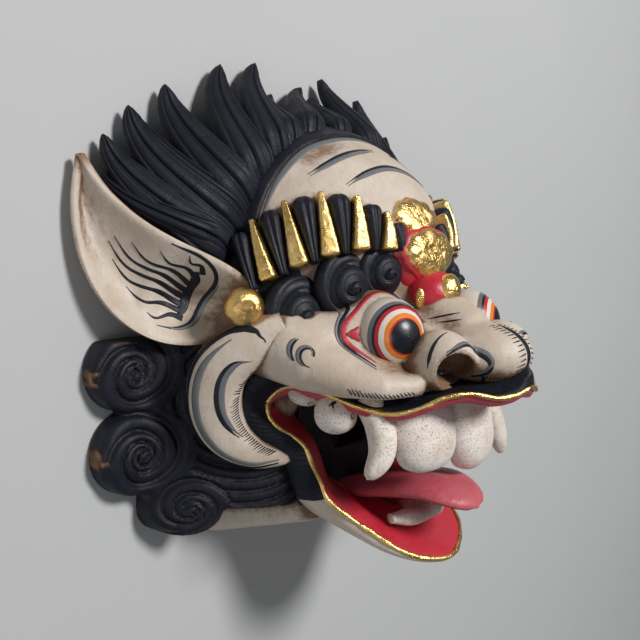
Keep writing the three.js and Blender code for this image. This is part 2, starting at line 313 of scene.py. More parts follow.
def ellipsoid(p, centre, radii):
    """Distance to an ellipsoid, near enough for sculpting."""
    q = [(p[k] - centre[k]) for k in range(3)]
    k0 = np.sqrt(sum((q[k] / radii[k]) ** 2 for k in range(3))) + 1e-6
    k1 = np.sqrt(sum((q[k] / radii[k] ** 2) ** 2 for k in range(3))) + 1e-9
    return k0 * (k0 - 1) / k1


def limb(p, points, radii, squash=(1, 1, 1)):
    """Distance to a chain of rounded limbs, in two or three axes; squash widens it along one."""
    best = None
    axes = range(len(p))
    q = [p[k] / squash[k] for k in axes]
    pts = np.asarray(points, float) / np.asarray(squash, float)[: len(p)]
    for a, b, ra, rb in zip(pts, pts[1:], radii, radii[1:]):
        ab = b - a
        t = sum((q[k] - a[k]) * ab[k] for k in axes) / float(ab @ ab)
        t = np.clip(t, 0, 1)
        d = np.sqrt(sum((q[k] - a[k] - t * ab[k]) ** 2 for k in axes)) - (ra + (rb - ra) * t)
        best = d if best is None else np.minimum(best, d)
    return best * min(squash)


def join(a, b, k):
    """Union with a fillet about k wide."""
    h = np.clip(0.5 + 0.5 * (b - a) / k, 0, 1)
    return b + (a - b) * h - k * h * (1 - h)


def cut(a, b, k):
    return -join(-a, b, k)


def sculpt(field, low, high, cell=CELL):
    """Vertices and quads of the surface where field is 0, by surface nets."""
    low = np.asarray(low, float)
    counts = np.ceil((np.asarray(high, float) - low) / cell).astype(int) + 1
    axes = [(low[k] + cell * np.arange(counts[k])).astype(np.float32) for k in range(3)]
    d = field([axes[0][:, None, None], axes[1][None, :, None], axes[2][None, None, :]])
    d = np.array(np.broadcast_to(d, counts), np.float32)
    for k in range(3):
        edge = [slice(None)] * 3
        for end in (0, -1):
            edge[k] = end
            d[tuple(edge)] = np.maximum(d[tuple(edge)], 0.01)
    inside = d < 0
    corners = [(i, j, k) for i in (0, 1) for j in (0, 1) for k in (0, 1)]
    n = counts - 1

    def at(a, c):
        return a[c[0] : c[0] + n[0], c[1] : c[1] + n[1], c[2] : c[2] + n[2]]

    total = sum(at(inside, c).astype(np.uint8) for c in corners)
    cells = np.argwhere((total > 0) & (total < 8))
    index = np.full(n, -1, np.int64)
    index[tuple(cells.T)] = np.arange(len(cells))
    value = {c: d[tuple((cells + c).T)] for c in corners}
    place = np.zeros((len(cells), 3))
    hits = np.zeros(len(cells))
    for a in corners:
        for k in range(3):
            if a[k]:
                continue
            b = tuple(1 if m == k else a[m] for m in range(3))
            va, vb = value[a], value[b]
            crossed = (va < 0) != (vb < 0)
            t = np.where(crossed, va / np.where(crossed, va - vb, 1), 0)
            point = np.array(a, float) + t[:, None] * (np.array(b) - np.array(a))
            place += point * crossed[:, None]
            hits += crossed
    verts = low + (cells + place / hits[:, None]) * cell
    quads = []
    for k in range(3):
        u, v = (k + 1) % 3, (k + 2) % 3
        lower = [slice(None)] * 3
        upper = [slice(None)] * 3
        lower[k], upper[k] = slice(None, -1), slice(1, None)
        a, b = inside[tuple(lower)], inside[tuple(upper)]
        for sign, hit in ((1, a & ~b), (-1, ~a & b)):
            e = np.argwhere(hit)
            du, dv = np.zeros(3, int), np.zeros(3, int)
            du[u], dv[v] = 1, 1
            ring = [e - du - dv, e - dv, e, e - du]
            quad = np.stack([index[tuple(c.T)] for c in ring], 1)
            quads.append(quad[:, ::sign])
    return verts, np.concatenate(quads)


def net(piece, field, low, high, mark=None, cell=CELL):
    verts, quads = sculpt(field, low, high, cell)
    return piece.add(verts, [quads], 0, None if mark is None else mark(verts))


def loft(piece, curves, along, slots, across=5, wobble=None):
    """Adds a body whose closed section passes through one point of each curve, in order.

    slots gives the material between each curve and the next.
    """
    rails = np.stack([resample(c, along) for c in curves])
    count = len(rails)
    t = np.linspace(0, 1, across + 1)[:-1, None, None]
    ring = []
    for i in range(count):
        a, b, c, d = (rails[(i + k) % count] for k in (-1, 0, 1, 2))
        m0, m1 = (c - a) * 0.35, (d - b) * 0.35
        h = t * t * (3 - 2 * t)
        ring.append(b * (1 - h) + c * h + m0 * t * (1 - t) ** 2 - m1 * t * t * (1 - t))
    ring = np.concatenate(ring)
    if wobble is not None:
        ring = wobble(ring)
    m = count * across
    verts = np.concatenate([
        ring.transpose(1, 0, 2).reshape(-1, 3), ring[:, :1].mean(0), ring[:, -1:].mean(0)])
    ends = [fan(along * m, 0, m, True), fan(along * m + 1, (along - 1) * m, m)]
    slot = np.repeat(slots, across)
    return piece.add(verts, [grid(along, m, wrap=True), *ends], [np.tile(slot, along - 1), slot, slot])


def mirrored(points):
    """A curve over both halves: the left one backwards from the corner, then the right one."""
    right = np.asarray(points, float)
    left = flip(-1, right)
    return np.concatenate([left, right[-2::-1]])


# ---------- the carved block ----------


def folded(p):
    return [np.abs(p[0]), p[1], p[2]]


def hollow(p):
    """The room for the wearer's face, cut from behind, and the sight way into the mouth."""
    brow = ellipsoid(p, (0, 29, -2), (78, 62, 66))
    chin = ellipsoid(p, (0, -46, -2), (70, 54, 52))
    nose = ellipsoid(p, (0, -16, 50), (52, 22, 44))
    way = limb(p, [(0, -66, 0), (0, -66, 90)], (12, 14), (1.9, 1, 1))
    return join(join(brow, chin, 8), np.minimum(nose, way), 6)


def mouth(p):
    """The open mouth between the lips and back to the throat."""
    open_jaw = limb(p, [(0, -66, 78), (0, -72, 124)], (32, 38), (1.5, 1, 1))
    corner = limb(p, [(34, -42, 62), (66, -39, 62)], (12, 9))
    below_lip = np.maximum(np.maximum(p[1] + 30, 52 - p[2]), p[0] - 75)
    return np.minimum(join(open_jaw, corner, 6), below_lip)


def nostril(p):
    return limb(p, [(44, -18, 151), (31, -18, 141), (17, -15, 130)], (10.5, 10, 8))


def behind(verts):
    """1 on raw wood, in the hollow and on the back rim, and a third of that in the nostrils."""
    p = folded([verts[:, k] for k in range(3)])
    raw = np.where((hollow(p) < CELL * 1.3) | (p[2] < 0.7), 1.0, 0.0)
    return np.maximum(raw, np.where(nostril(p) < 0.7, 0.35, 0.0))


DOME = (0, 36, 8)
DOME_RADII = (88, 78, 93)
MUZZLE_ROLL = [(77, -8, 62), (74, -13.5, 82), (67, -22, 102), (59, -25.5, 116), (47, -25, 126)]


def face_field(p):
    q = folded(p)
    d = join(ellipsoid(q, DOME, DOME_RADII), ellipsoid(q, (60, -14, 20), (41, 56, 40)), 14)
    d = join(d, ellipsoid(q, (0, -10, 62), (70, 23, 70)), 8)
    d = join(d, ellipsoid(q, (36.5, 0, 95), (22, 20.5, 19.5)), 6)  # the rim of the eye socket
    d = join(d, limb(q, [(0, 16, 88), (0, 9, 108), (0, 0, 128)], (18, 14, 13)), 8)
    d = join(d, limb(q, [(75, -4, 70), (56, -1, 89)], (16, 11.5)), 7)
    d = join(d, limb(q, [(56, -14, 98), (46, -19, 112)], (10, 7)), 5)
    d = join(d, limb(q, MUZZLE_ROLL, (16, 15, 10.5, 9, 6.5)), 8)
    ala = ellipsoid(q, (31, -13, 132), (15, 15.5, 18))
    d = join(d, join(ellipsoid(q, (0, -12, 140), (23, 16, 25)), ala, 4), 3)
    d = cut(cut(d, mouth(q), 3), nostril(q), 1.5)
    return np.maximum(cut(d, hollow(q), 1.5), -q[2])


def make_face():
    piece = Piece()
    net(piece, face_field, (-110, -82, -2), (110, 118, 168), mark=behind)
    return piece.make("face", [paint["cream"]])


# ---------- hair ----------

# Each lock: where it leaves the forehead, its lean from upright in degrees, its length, how far it bows
# to the side and its half-width.
SIDE_LOCKS = [((60, 70), 2, 72, 7, 18), ((68, 58), 26, 76, 7, 19), ((74, 46), 37, 84, 11, 19),
              ((80, 36), 44, 86, 12, 17), ((86, 44), 57, 66, 12, 10)]
TOP_LOCKS = [((-48, 82), 11, 66, -6, 16), ((-38, 94), 23, 40, -3, 12), ((-24, 98), 35, 49, -3, 13),
             ((4, 100), 16, 35, 1, 11), ((38, 90), -15, 58, 3, 15)]
LOCK_ROOT = 40.0  # height of a lock where it leaves the forehead
LOCK_TIP = 7.0


def lock_path(root, lean, length, bow):
    t = np.linspace(0, 1, 7)
    tilt = math.radians(lean)
    x = root[0] + length * t * math.sin(tilt) + bow * np.sin(math.pi * t)
    y = root[1] + length * t * math.cos(tilt)
    z = LOCK_TIP + (LOCK_ROOT - LOCK_TIP) * (0.5 + 0.5 * np.cos(math.pi * t))
    return np.stack([x, y, z], axis=1)


BACK_STEP = 0.5  # the hair and beard end this much short of the face's own back
HAIR_CELL = CELL * 1.4
BEARD_CELL = CELL * 0.78
CAP_EDGE = 49.0  # Z of the hair's front edge, which climbs above CAP_BEND
CAP_BEND = 96.0
CAP_CLIMB = 0.3


def hair_field(p):
    q = folded(p)
    edge = q[2] - CAP_EDGE - CAP_CLIMB * np.maximum(q[1] - CAP_BEND, 0)
    cap = np.maximum(ellipsoid(q, DOME, (90, 80, 94.5)), edge)
    d = join(ellipsoid(q, (0, 40, -8), (114, 80, 44)), cap, 5)
    d = np.maximum(d, (0.5 * (q[0] - 80) + 37 - q[1]) * 0.85)  # clear of the ears
    return np.maximum(cut(d, hollow(q) - BACK_STEP, 1.5), BACK_STEP - q[2])


def add_lock(piece, points, width, grooves):
    """A flame of hair: grooved along its length, low at its root and drawn to a point."""
    t = np.linspace(0, 1, 30)
    root = np.clip(t / 0.3, 0, 1)
    root = root * root * (3 - 2 * root)
    widths = width * (0.55 + 0.45 * root) * np.power(np.clip(1 - t, 0, 1), 0.55) + 0.4
    heights = (2 + 9 * root) * np.power(np.clip(1 - t * 0.98, 0, 1), 0.55) + 1.0
    ups = np.array([[0.35 * p[0] / 100, 0.35 * p[1] / 100, 1.0] for p in points])
    sweep(piece, points, widths, heights, ups, section(grooves + 2, 0.34, 0.05, 64), along=48, wave=0.04)


def make_hair():
    piece = Piece()
    net(piece, hair_field, (-122, -44, -2), (122, 122, 60), mark=behind, cell=HAIR_CELL)
    for k, (root, lean, length, bow, width) in enumerate(SIDE_LOCKS):
        points = lock_path(root, lean, length, bow)
        add_lock(piece, flip(-1, points), width, 5 - k % 2)
        closer = 0.97 - 0.045 * k  # the right side lies a little closer to the head
        add_lock(piece, flip(1, points) * np.array([closer, closer, 0.92]), width * 0.95, 5 - k % 2)
    for k, (root, lean, length, bow, width) in enumerate(TOP_LOCKS):
        add_lock(piece, lock_path(root, lean, length, bow), width, 4 + k % 2)
    return piece.make("hair", [paint["black"]])


# ---------- ears ----------

# The two rims of an ear, each from the head to the tip, with the handles that pull it.
EAR_OUTER = [(88, 0, 46), (128, -22, 22), (172, 22, 8), (153, 88, 8)]
EAR_INNER = [(87, 22, 60), (103, 47, 47), (138, 42, 33), (153, 88, 8)]
EAR_SINK = np.array([-0.25, 0.1, -0.9])  # the way the hollow goes
EAR_STEPS = 59
EAR_LIFT = 3.5  # from the middle of the ear's board to just off its front


def ear_middle(u, v):
    """A point of the uncupped ear: u runs from the head to the tip, v from the outer to the inner rim."""
    outer = bezier(EAR_OUTER, EAR_STEPS + 1)
    inner = bezier(EAR_INNER, EAR_STEPS + 1)
    at = np.clip(u, 0, 1) * EAR_STEPS
    low = np.minimum(at.astype(int), EAR_STEPS - 1)
    share = (at - low)[..., None]
    outer = outer[low] * (1 - share) + outer[low + 1] * share
    inner = inner[low] * (1 - share) + inner[low + 1] * share
    return outer + (inner - outer) * v[..., None]


def ear_surface(u, v):
    """The hollow face of the ear, cupped, with a pocket by the head and a fold across it."""
    cup = np.sin(math.pi * v**0.85) * np.sin(math.pi * np.clip(0.2 + 0.8 * u, 0, 1)) ** 0.7
    pocket = np.exp(-(((u - 0.2) / 0.1) ** 2) - ((v - 0.55) / 0.22) ** 2)
    fold = np.exp(-(((u - 0.33 - 0.1 * v) / 0.035) ** 2)) * np.clip(np.sin(math.pi * v), 0, 1)
    sink = 15 * cup + 8 * pocket - 2.5 * fold
    return ear_middle(u, v) + sink[..., None] * EAR_SINK


def ear_face(u, v):
    """Just off the ear's hollow face, where a brush touches it."""
    return ear_surface(u, v) - EAR_LIFT * EAR_SINK


def make_ear(side):
    u, v = np.meshgrid(np.linspace(0, 1, 110), np.linspace(0, 1, 56), indexing="ij")
    surface = ear_surface(u, v)
    normal = unit(np.cross(np.gradient(surface, axis=1), np.gradient(surface, axis=0)))
    edge = np.exp(-((1 - np.abs(2 * v - 1)) / 0.09) ** 2)[..., None]
    rim = np.sqrt(np.clip(1 - np.abs(2 * v - 1) ** 14, 0, 1))[..., None]
    front = surface + normal * (2.0 + 1.2 * edge) * rim
    back = surface - normal * 2.2 * rim
    piece = Piece()
    tip = np.linalg.norm(np.concatenate([front, back]).reshape(-1, 3) - EAR_OUTER[-1], axis=1)
    lower = 1.0 if side < 0 else 0.9  # the right ear was carved a little shorter
    board(piece, front * np.array([side, lower, 1]), back * np.array([side, lower, 1]))
    piece.marks = [np.exp(-((tip / 7) ** 4))]  # rubbed to the wood
    return piece.make(sided("ear", side), [paint["cream"]])


def make_stud(side):
    piece = Piece()
    centre = flip(side, (97, 14, 60))
    axis = unit(flip(side, (0.5, 0.05, 0.85)))

    def dimple(d):
        return 1 - 0.05 * np.exp(-(((np.arccos(np.clip(d[:, 2], -1, 1)) - 0.45) / 0.12) ** 2))

    blob(piece, centre, (10, 10, 8.5), turned(axis), shape=dimple)
    widths = [4.6, 3.0, 0.5]
    path = [centre + axis * reach for reach in (6, 10, 13)]
    sweep(piece, path, widths, widths, (0, 1, 0), along=14)
    return piece.make(sided("stud", side), [paint["gold"]])


# ---------- beard ----------

# Each curl's eye, radius and the way it winds.
CURLS = [((130, -19), 21, 1), ((127, -62), 22, 1), ((106, -94), 15, -1)]
BEARD_CHIPS = [((151, -20, 6), 5), ((149, -62, 6), 6)]
CURL_STEP = 5.4  # from one groove to the next in the streams


def beard_outline(x, y):
    """Distance outside the beard's outline as seen from the front."""
    cheek = limb([x, y], [(98, -14), (100, -68)], (32, 28))
    d = np.minimum(cheek, limb([x, y], [(96, -78), (56, -82)], (17, 15)))
    for (cx, cy), radius, _ in CURLS:
        d = join(d, np.hypot(x - cx, y - cy) - radius, 2.5)
    return d


def beard_relief(x, y):
    """Height of the carved strands: spirals in the curls, and streams that run round the cheek."""
    best = np.full(np.broadcast(x, y).shape, 1.18)
    phase = np.hypot(x - 82, 0.85 * (y + 35)) / CURL_STEP
    swell = np.zeros_like(best)
    for (cx, cy), radius, wind in CURLS:
        r = np.hypot(x - cx, y - cy)
        turn = np.arctan2(y - cy, x - cx) * wind
        own = 2.1 * np.log(r / 3 + 0.6) + 2 * turn / (2 * math.pi) + 0.2 * np.sin(turn)
        near = r / radius < best
        phase = np.where(near, own, phase)
        best = np.where(near, r / radius, best)
        swell = np.maximum(swell, 4.5 * np.exp(-((r / radius) ** 2) * 1.6))
    strand = 1 - np.abs(np.cos(math.pi * phase)) ** 8
    return 3.0 * strand + swell


def beard_field(p):
    x, y, z = p
    rise = np.clip((130 - x) / 72, 0, 1)
    height = 10 + 46 * rise * rise * (3 - 2 * rise) + beard_relief(x, y)
    d = -join(-beard_outline(x, y), -(z - height) * 0.85, 4)
    return np.maximum(np.maximum(cut(d, hollow(p) - BACK_STEP, 1.5), BACK_STEP - z), y + 3)


def make_beard():
    piece = Piece()
    verts, quads = sculpt(beard_field, (52, -118, -2), (160, 16, 62), BEARD_CELL)
    raw = behind(verts)
    ragged = 0.25 * np.sin(verts[:, 1] * 1.1) + 0.25 * np.sin(verts[:, 2] * 0.9 + verts[:, 1] * 0.7)
    chipped = raw
    for centre, radius in BEARD_CHIPS:
        reach = np.linalg.norm(verts - centre, axis=1) / radius + ragged
        chipped = np.maximum(chipped, np.clip((1 - reach) * 3, 0, 1))
    for side in BOTH:
        piece.add(flip(side, verts), [quads], 0, chipped if side < 0 else raw)
    return piece.make("beard", [paint["black"]])


CHEEK_ROLL = [(80, 4, 72), (92, -4, 60), (101, -18, 47), (101, -36, 42), (94, -52, 43),
              (82, -63, 49), (70, -67, 58), (61, -67, 64)]
CHEEK_UP = (0.7, 0, 0.7)


def cheek_size(t):
    width = 13.8 * np.sin(math.pi * np.clip(0.15 + 0.85 * t, 0, 1)) ** 0.75 + 0.5
    height = 10 * np.sin(math.pi * np.clip(0.25 + 0.75 * t, 0, 1)) ** 0.5 + 0.8
    return width, height


def cheek_surface(t, across):
    """A point on the roll: t runs from its upper end to its lower, across from the beard to the mouth."""
    path = resample(CHEEK_ROLL, 101)
    tangent = unit(np.gradient(path, axis=0))
    side = unit(np.cross(tangent, np.broadcast_to(CHEEK_UP, path.shape)))
    top = unit(np.cross(side, tangent))
    at = np.rint(np.clip(t, 0, 1) * 100).astype(int)
    width, height = cheek_size(t)
    rise = height * np.sqrt(np.clip(1 - across**2, 0, 1))
    return path[at] + side[at] * (width * across)[:, None] + top[at] * rise[:, None]


def make_cheek_roll(side):
    piece = Piece()
    widths, heights = cheek_size(np.linspace(0, 1, 40))
    sweep(piece, flip(side, CHEEK_ROLL), widths, heights, flip(side, CHEEK_UP), section(count=48), along=90)
    return piece.make(sided("cheek", side), [paint["cream"]])


# ---------- lips and jaw ----------

CORNER = (76, -38, 54)  # where the lips meet
LOWER_RIM = [CORNER, (76, -45, 56), (73, -51, 60), (67, -55.5, 64), (62.5, -62, 69), (60, -72, 72),
             (56, -81, 74), (54, -91, 78), (45, -101, 85), (37, -110, 96), (30, -118, 108),
             (18, -124, 116), (0, -127, 121)]
FLANGE = [(58, -38, 47), (56, -45, 48), (52, -51, 51), (47, -56, 55), (43, -63, 59), (41, -72, 62),
          (39, -80, 63), (36, -88, 66), (31, -95, 73), (26, -102, 82), (20, -109, 93), (12, -114, 101),
          (0, -116, 105)]
THROAT = [(44, -34, 40), (42, -40, 40), (40, -46, 40), (38, -52, 40), (36, -60, 40), (34, -68, 40),
          (32, -76, 40), (28, -84, 42), (20, -91, 48), (12, -97, 58), (6, -101, 70), (2, -104, 80),
          (0, -106, 86)]
KEEL = [(60, -34, 30), (60, -42, 30), (58, -50, 30), (54, -60, 30), (50, -72, 28), (46, -84, 26),
        (40, -94, 26), (32, -103, 28), (20, -111, 36), (12, -114, 44), (6, -116, 50), (3, -117, 53),
        (0, -117, 55)]
FLANK = [(79, -38, 44), (80, -45, 44), (77, -52, 48), (72, -58, 52), (66, -66, 56), (62, -75, 58),
         (58, -85, 60), (56, -94, 64), (48, -104, 74), (40, -113, 86), (32, -120.5, 99), (19, -126, 109),
         (0, -129.5, 114)]


def between(a, b, share, lift=(0, 0, 0)):
    return (np.asarray(a, float) * (1 - share) + np.asarray(b, float) * share) + np.asarray(lift, float)


def make_jaw():
    piece = Piece()
    rails = [LOWER_RIM, between(LOWER_RIM, FLANGE, 0.5, (0, 0.5, 1.5)), FLANGE, THROAT, KEEL, FLANK]
    loft(piece, [mirrored(r) for r in rails], 260, [1, 1, 1, 2, 0, 0], 10)
    return piece.make("lower_jaw", [paint["cream"], paint["red"], paint["wood"]])


def jaw_back_field(p):
    x, y, z = folded(p)
    half = np.maximum(74 - 0.55 * z, 20)
    high = 12.5 - 0.06 * z
    d = (((x / half) ** 4 + ((y + 113.5 - 0.17 * z) / high) ** 4) ** 0.25 - 1) * 11
    d = np.maximum(d, z - 66)
    return np.maximum(cut(cut(d, mouth([x, y, z]), 2), hollow([x, y, z]), 1.5), -z)


def make_jaw_back():
    piece = Piece()
    net(piece, jaw_back_field, (-78, -138, -2), (78, -78, 84), mark=behind)
    return piece.make("jaw_back", [paint["cream"]])


UPPER_RIM = [CORNER, (73, -33, 57), (71, -29, 64), (70, -28.5, 75), (68, -30, 87), (64, -35, 104),
             (57, -38, 114), (54, -37, 125), (47, -33, 135), (42, -29.5, 141), (33, -27.5, 150),
             (21, -30.5, 158), (11, -30, 163), (5, -28, 165.5), (0, -27, 166)]
UPPER_TOP = [(79, -34, 50), (77, -27, 54), (76, -22, 62), (74, -22, 74), (69, -25, 86), (62, -31, 99),
             (56, -34, 108), (50, -34.5, 118), (44, -32, 127), (39, -29, 136), (29, -27, 145),
             (17, -28.5, 152.5), (9, -26, 159), (4, -21, 164), (0, -18, 166)]
PALATE = [(62, -33, 46), (60, -32, 50), (57, -31, 58), (54, -31, 68), (51, -32, 80), (47, -34, 96),
          (42, -35, 106), (38, -35, 113), (33, -34, 119), (29, -34, 123), (21, -34, 127), (13, -34, 131),
          (7, -33, 134), (3, -32, 136), (0, -31, 137)]
LIP_CORE = [(66, -22, 44), (66, -16, 50), (64, -12, 58), (62, -12, 68), (58, -14, 80), (54, -18, 94),
            (48, -24, 104), (43, -27, 110), (38, -29, 115), (34, -30, 119), (24, -30, 125), (14, -26, 132),
            (7, -18, 142), (3, -12, 149), (0, -10, 152)]


def make_upper_lip():
    piece = Piece()
    edge = between(UPPER_RIM, PALATE, 0.14, (0, -4.5, 0))
    rails = [UPPER_TOP, between(UPPER_TOP, UPPER_RIM, 0.55, (0, 0.6, 0.8)), UPPER_RIM, edge, PALATE, LIP_CORE]
    loft(piece, [mirrored(r) for r in rails], 260, [0, 0, 1, 1, 1, 0], 8)
    return piece.make("upper_lip", [paint["black"], paint["lip"]])


BAND_INNER = [(66, -30, 92), (69, -28.5, 80), (70.5, -28.5, 70), (72, -30.5, 60), CORNER, (76, -45, 56),
              (73, -51, 60), (67, -55.5, 64), (62.5, -62, 69), (60, -72, 72), (56, -81, 74), (54, -90, 77)]
BAND_OUTER = [(66, -24, 88), (74, -19, 76), (80, -16, 66), (86, -22, 54), (92, -35, 48), (91, -45, 47),
              (83, -56, 49), (74, -64, 54), (68, -70, 58), (65, -77, 60), (62, -85, 60), (60, -92, 62)]


def make_mouth_band():
    """The pleated black band that frames the corner of the mouth."""
    crest = between(BAND_INNER, BAND_OUTER, 0.5, (2.5, 0, 3.5))
    base = between(BAND_INNER, BAND_OUTER, 0.5, (-6, 0, -9))

    def pleats(ring):
        s = np.linspace(0, 1, ring.shape[1])[None, :, None]
        centre = ring.mean(0, keepdims=True)
        return centre + (ring - centre) * (1 + 0.05 * np.abs(np.sin(s * math.pi * 34)) ** 0.7 - 0.03)

    piece = Piece()
    for side in BOTH:
        loft(piece, [flip(side, c) for c in (BAND_INNER, crest, BAND_OUTER, base)], 300, [0] * 4, 8, pleats)
    return piece.make("mouth_band", [paint["black"]])


# The throat wall is painted shade: a black sheet where the mouth would show the dark of the hollow.
def throat_shade_field(p):
    q = folded(p)
    wall = np.maximum(np.maximum(np.abs(q[2] - 49) - 3, q[0] - 46), np.abs(q[1] + 66) - 36)
    return np.maximum(wall, -limb([q[0], q[1]], [(0, -66), (10, -66)], (9, 9)))


def make_throat_shade_wall():
    """A black wall behind the teeth, painted shade standing in for the dark of the hollow, with the wearer's
    sight hole through it.
    """
    piece = Piece()
    net(piece, throat_shade_field, (-50, -106, 44), (50, -26, 54))
    return piece.make("throat", [paint["black"]])


def make_gold_edges():
    piece = Piece()
    for path in (mirrored(UPPER_RIM), mirrored(LOWER_RIM)):
        t = np.linspace(0, 1, 90)
        rough = 1.35 + 0.18 * np.sin(61 * t) + 0.15 * np.sin(143 * t + 1)
        sweep(piece, path + np.array([0, 0, 0.3]), rough, rough, (0, 0.3, 1), along=320)
    return piece.make("gold_edges", [paint["gold"]])


# ---------- teeth and tongue ----------


def rounded(width, start, belly=0.5, tip=1.0):
    """Half-widths of a tooth: its gum's share, full at the belly, then a round end."""
    t = np.linspace(0, 1, 24)
    near = np.clip(t / belly, 0, 1)
    body = start + (1 - start) * np.sin(near * math.pi / 2)
    far = np.clip((t - belly) / (1 - belly), 0, 1)
    body = body * (1 - (1 - tip) * far)
    return width * body * np.sqrt(np.clip(1 - far**3.2, 0, 1)) + 0.3


# Each upper tooth: its path from the gum, the way its front faces, and its half-widths and heights.
INCISOR = (rounded(20.5, 0.86), rounded(12, 0.85))
TUSK_LEFT = (rounded(7.4, 1.0, 0.4, 0.8), rounded(8, 1.0, 0.4, 0.8))
TUSK_RIGHT = (rounded(9, 1.0, 0.4, 0.8), TUSK_LEFT[1])
UPPER_TEETH = [
    ([(-25, -31, 114), (-27, -46, 119), (-28, -60, 121), (-28, -72.5, 119)], (-0.15, 0, 1), INCISOR),
    ([(15, -31, 114), (16, -50, 119), (18, -68, 121), (19, -80, 118)], (0.1, 0, 1), INCISOR),
    ([(-52, -33, 102), (-52, -46, 110), (-56, -59, 114), (-65, -70.5, 112)], (-0.6, 0, 0.8), TUSK_LEFT),
    ([(44, -33, 104), (49, -48, 112), (55, -66, 117), (61, -82, 119)], (0.4, 0, 0.9), TUSK_RIGHT),
]
GUM = [(-60, -35, 94), (-34, -37, 108), (0, -37, 113), (34, -37, 108), (60, -35, 94)]
GUM_SIZES = [7, 9, 9, 9, 7]


def make_upper_teeth():
    piece = Piece()
    tooth = section(count=36)
    for path, front, (widths, heights) in UPPER_TEETH:
        sweep(piece, path, widths, heights, front, tooth, along=60)
    sweep(piece, GUM, GUM_SIZES, GUM_SIZES, (0, 1, 0), tooth, along=60)
    made = piece.make("teeth", [paint["tooth"]], "teeth")
    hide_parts("upper_teeth")
    return made


def make_molars():
    """The rear molars and the small tooth in front of the lower jaw."""
    piece = Piece()

    def squared(d):
        return 1 + 0.06 * (np.abs(d[:, 0] * d[:, 1]) + np.abs(d[:, 1] * d[:, 2]))

    for side in BOTH:
        blob(piece, flip(side, (61, -41, 89)), (11, 10.5, 11), shape=squared)
        blob(piece, flip(side, (63, -33, 70)), (9, 5, 9), turned(flip(side, (0.5, -0.4, 0.8))))
    lower = [(-22, -106, 96), (-12, -107, 101), (0, -107.5, 103), (12, -107, 101), (22, -106, 96)]
    sweep(piece, lower, [4, 7, 5.5, 7, 4], [3, 5, 4, 5, 3], (0, 1, 0), section(count=36), along=70)
    return piece.make("molars", [paint["tooth"]])


def make_tongue():
    piece = Piece()
    path = [(0, -104, 46), (0, -98, 66), (0, -92, 90), (0, -89, 112), (0, -92, 128), (0, -96, 138)]
    t = np.linspace(0, 1, 30)
    widths = (17 + 9 * np.sin(np.clip(t * 1.25, 0, 1) * math.pi / 2)) * np.sqrt(np.clip(1 - t**5, 0, 1)) + 0.4
    heights = 7.5 * np.sqrt(np.clip(1 - t**6, 0, 1)) + 0.4
    sweep(piece, path, widths, heights, (0, 1, 0), section(2, 0.14, 0.14, 48), along=80)
    made = piece.make("tongue_carved", [paint["tongue"]], "tongue")
    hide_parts("tongue")
    return made


# ---------- brow ----------

BROW_LOW = [(8, 36, 94), (21, 30, 92), (36, 25, 85), (52, 18, 75), (68, 10, 64), (82, 8, 52), (92, 9, 44)]
BROW_HIGH = [(6, 50, 92), (20, 57, 88), (36, 64, 80), (54, 65, 69), (70, 58, 56), (82, 48, 47), (91, 36, 42)]
VOLUTES = [((71, 8, 71), 21), ((49, 22, 85), 20), ((29, 29, 94), 17)]
# The drops hang between two curves, black and gold by turns.
DROP_TOPS = [(20, 53, 93), (40, 76, 87), (64, 77, 64), (85, 50, 46)]
DROP_ENDS = [(21, 40, 98), (44, 43, 92), (66, 38, 80), (87, 22, 59)]
DROPS = 11
DROP_HEIGHT = 7.5


def drop_places():
    """The top and the end of each drop and its size, largest in the middle of the row."""
    tops = bezier(DROP_TOPS, DROPS)
    ends = bezier(DROP_ENDS, DROPS)
    sizes = 0.8 + 0.2 * np.sin(np.linspace(0.1, 1, DROPS) * math.pi)
    return list(zip(tops, ends, sizes))


def make_brow():
    piece = Piece()
    for side in BOTH:
        inner = between(BROW_LOW, BROW_HIGH, 0.5, (-6, -4, -16))
        front = between(BROW_LOW, BROW_HIGH, 0.5, (1, 1, 6))
        loft(piece, [flip(side, c) for c in (BROW_LOW, front, BROW_HIGH, inner)], 90, [0] * 4, 6)
        for top, low, size in drop_places()[::2]:
            add_drop(piece, flip(side, top), flip(side, low), 6.2 * size)
        for centre, radius in VOLUTES:
            add_volute(piece, flip(side, centre), radius, side)
    return piece.make("brow", [paint["line"]])


def brow_out(top, low):
    middle = (top + low) / 2
    return unit(np.array([middle[0], (middle[1] - 30) * 0.8, middle[2] * 0.8]))


def add_drop(piece, top, low, width):
    """A black drop, round at the top and running out to a point, with a cut down its middle."""
    t = np.linspace(0, 1, 40)
    near = np.clip(t / 0.2, 0, 1)
    far = np.clip((t - 0.2) / 0.8, 0, 1)
    widths = width * np.sqrt(1 - (1 - near) ** 2) * (1 - 0.7 * far) + 0.4
    heights = DROP_HEIGHT * np.sqrt(1 - (1 - near) ** 2) * (1 - 0.25 * far) + 0.4
    out = brow_out(top, low)
    middle = (top + low) / 2 + out * 1.5
    sweep(piece, [top, middle, low], widths, heights, out, section(2, 0.3, 0.16, 24), along=32)


def add_plaque(piece, top, low, narrow, wide):
    """A flat gilded drop: narrow above, wide and square-cornered below."""
    t = np.linspace(0, 1, 60)
    ends = np.sqrt(np.clip(1 - np.clip(1 - t / 0.06, 0, 1) ** 2, 0, 1))
    ends = ends * np.sqrt(np.clip(1 - np.clip((t - 0.93) / 0.07, 0, 1) ** 2, 0, 1))
    widths = (narrow + (wide - narrow) * t) * (0.02 + 0.98 * ends)
    out = brow_out(top, low)
    middle = (top + low) / 2 + out * 1.5
    sweep(piece, [top, middle, low], widths, DROP_HEIGHT * (0.4 + 0.6 * ends), out,
          section(count=24, square=6), along=44)


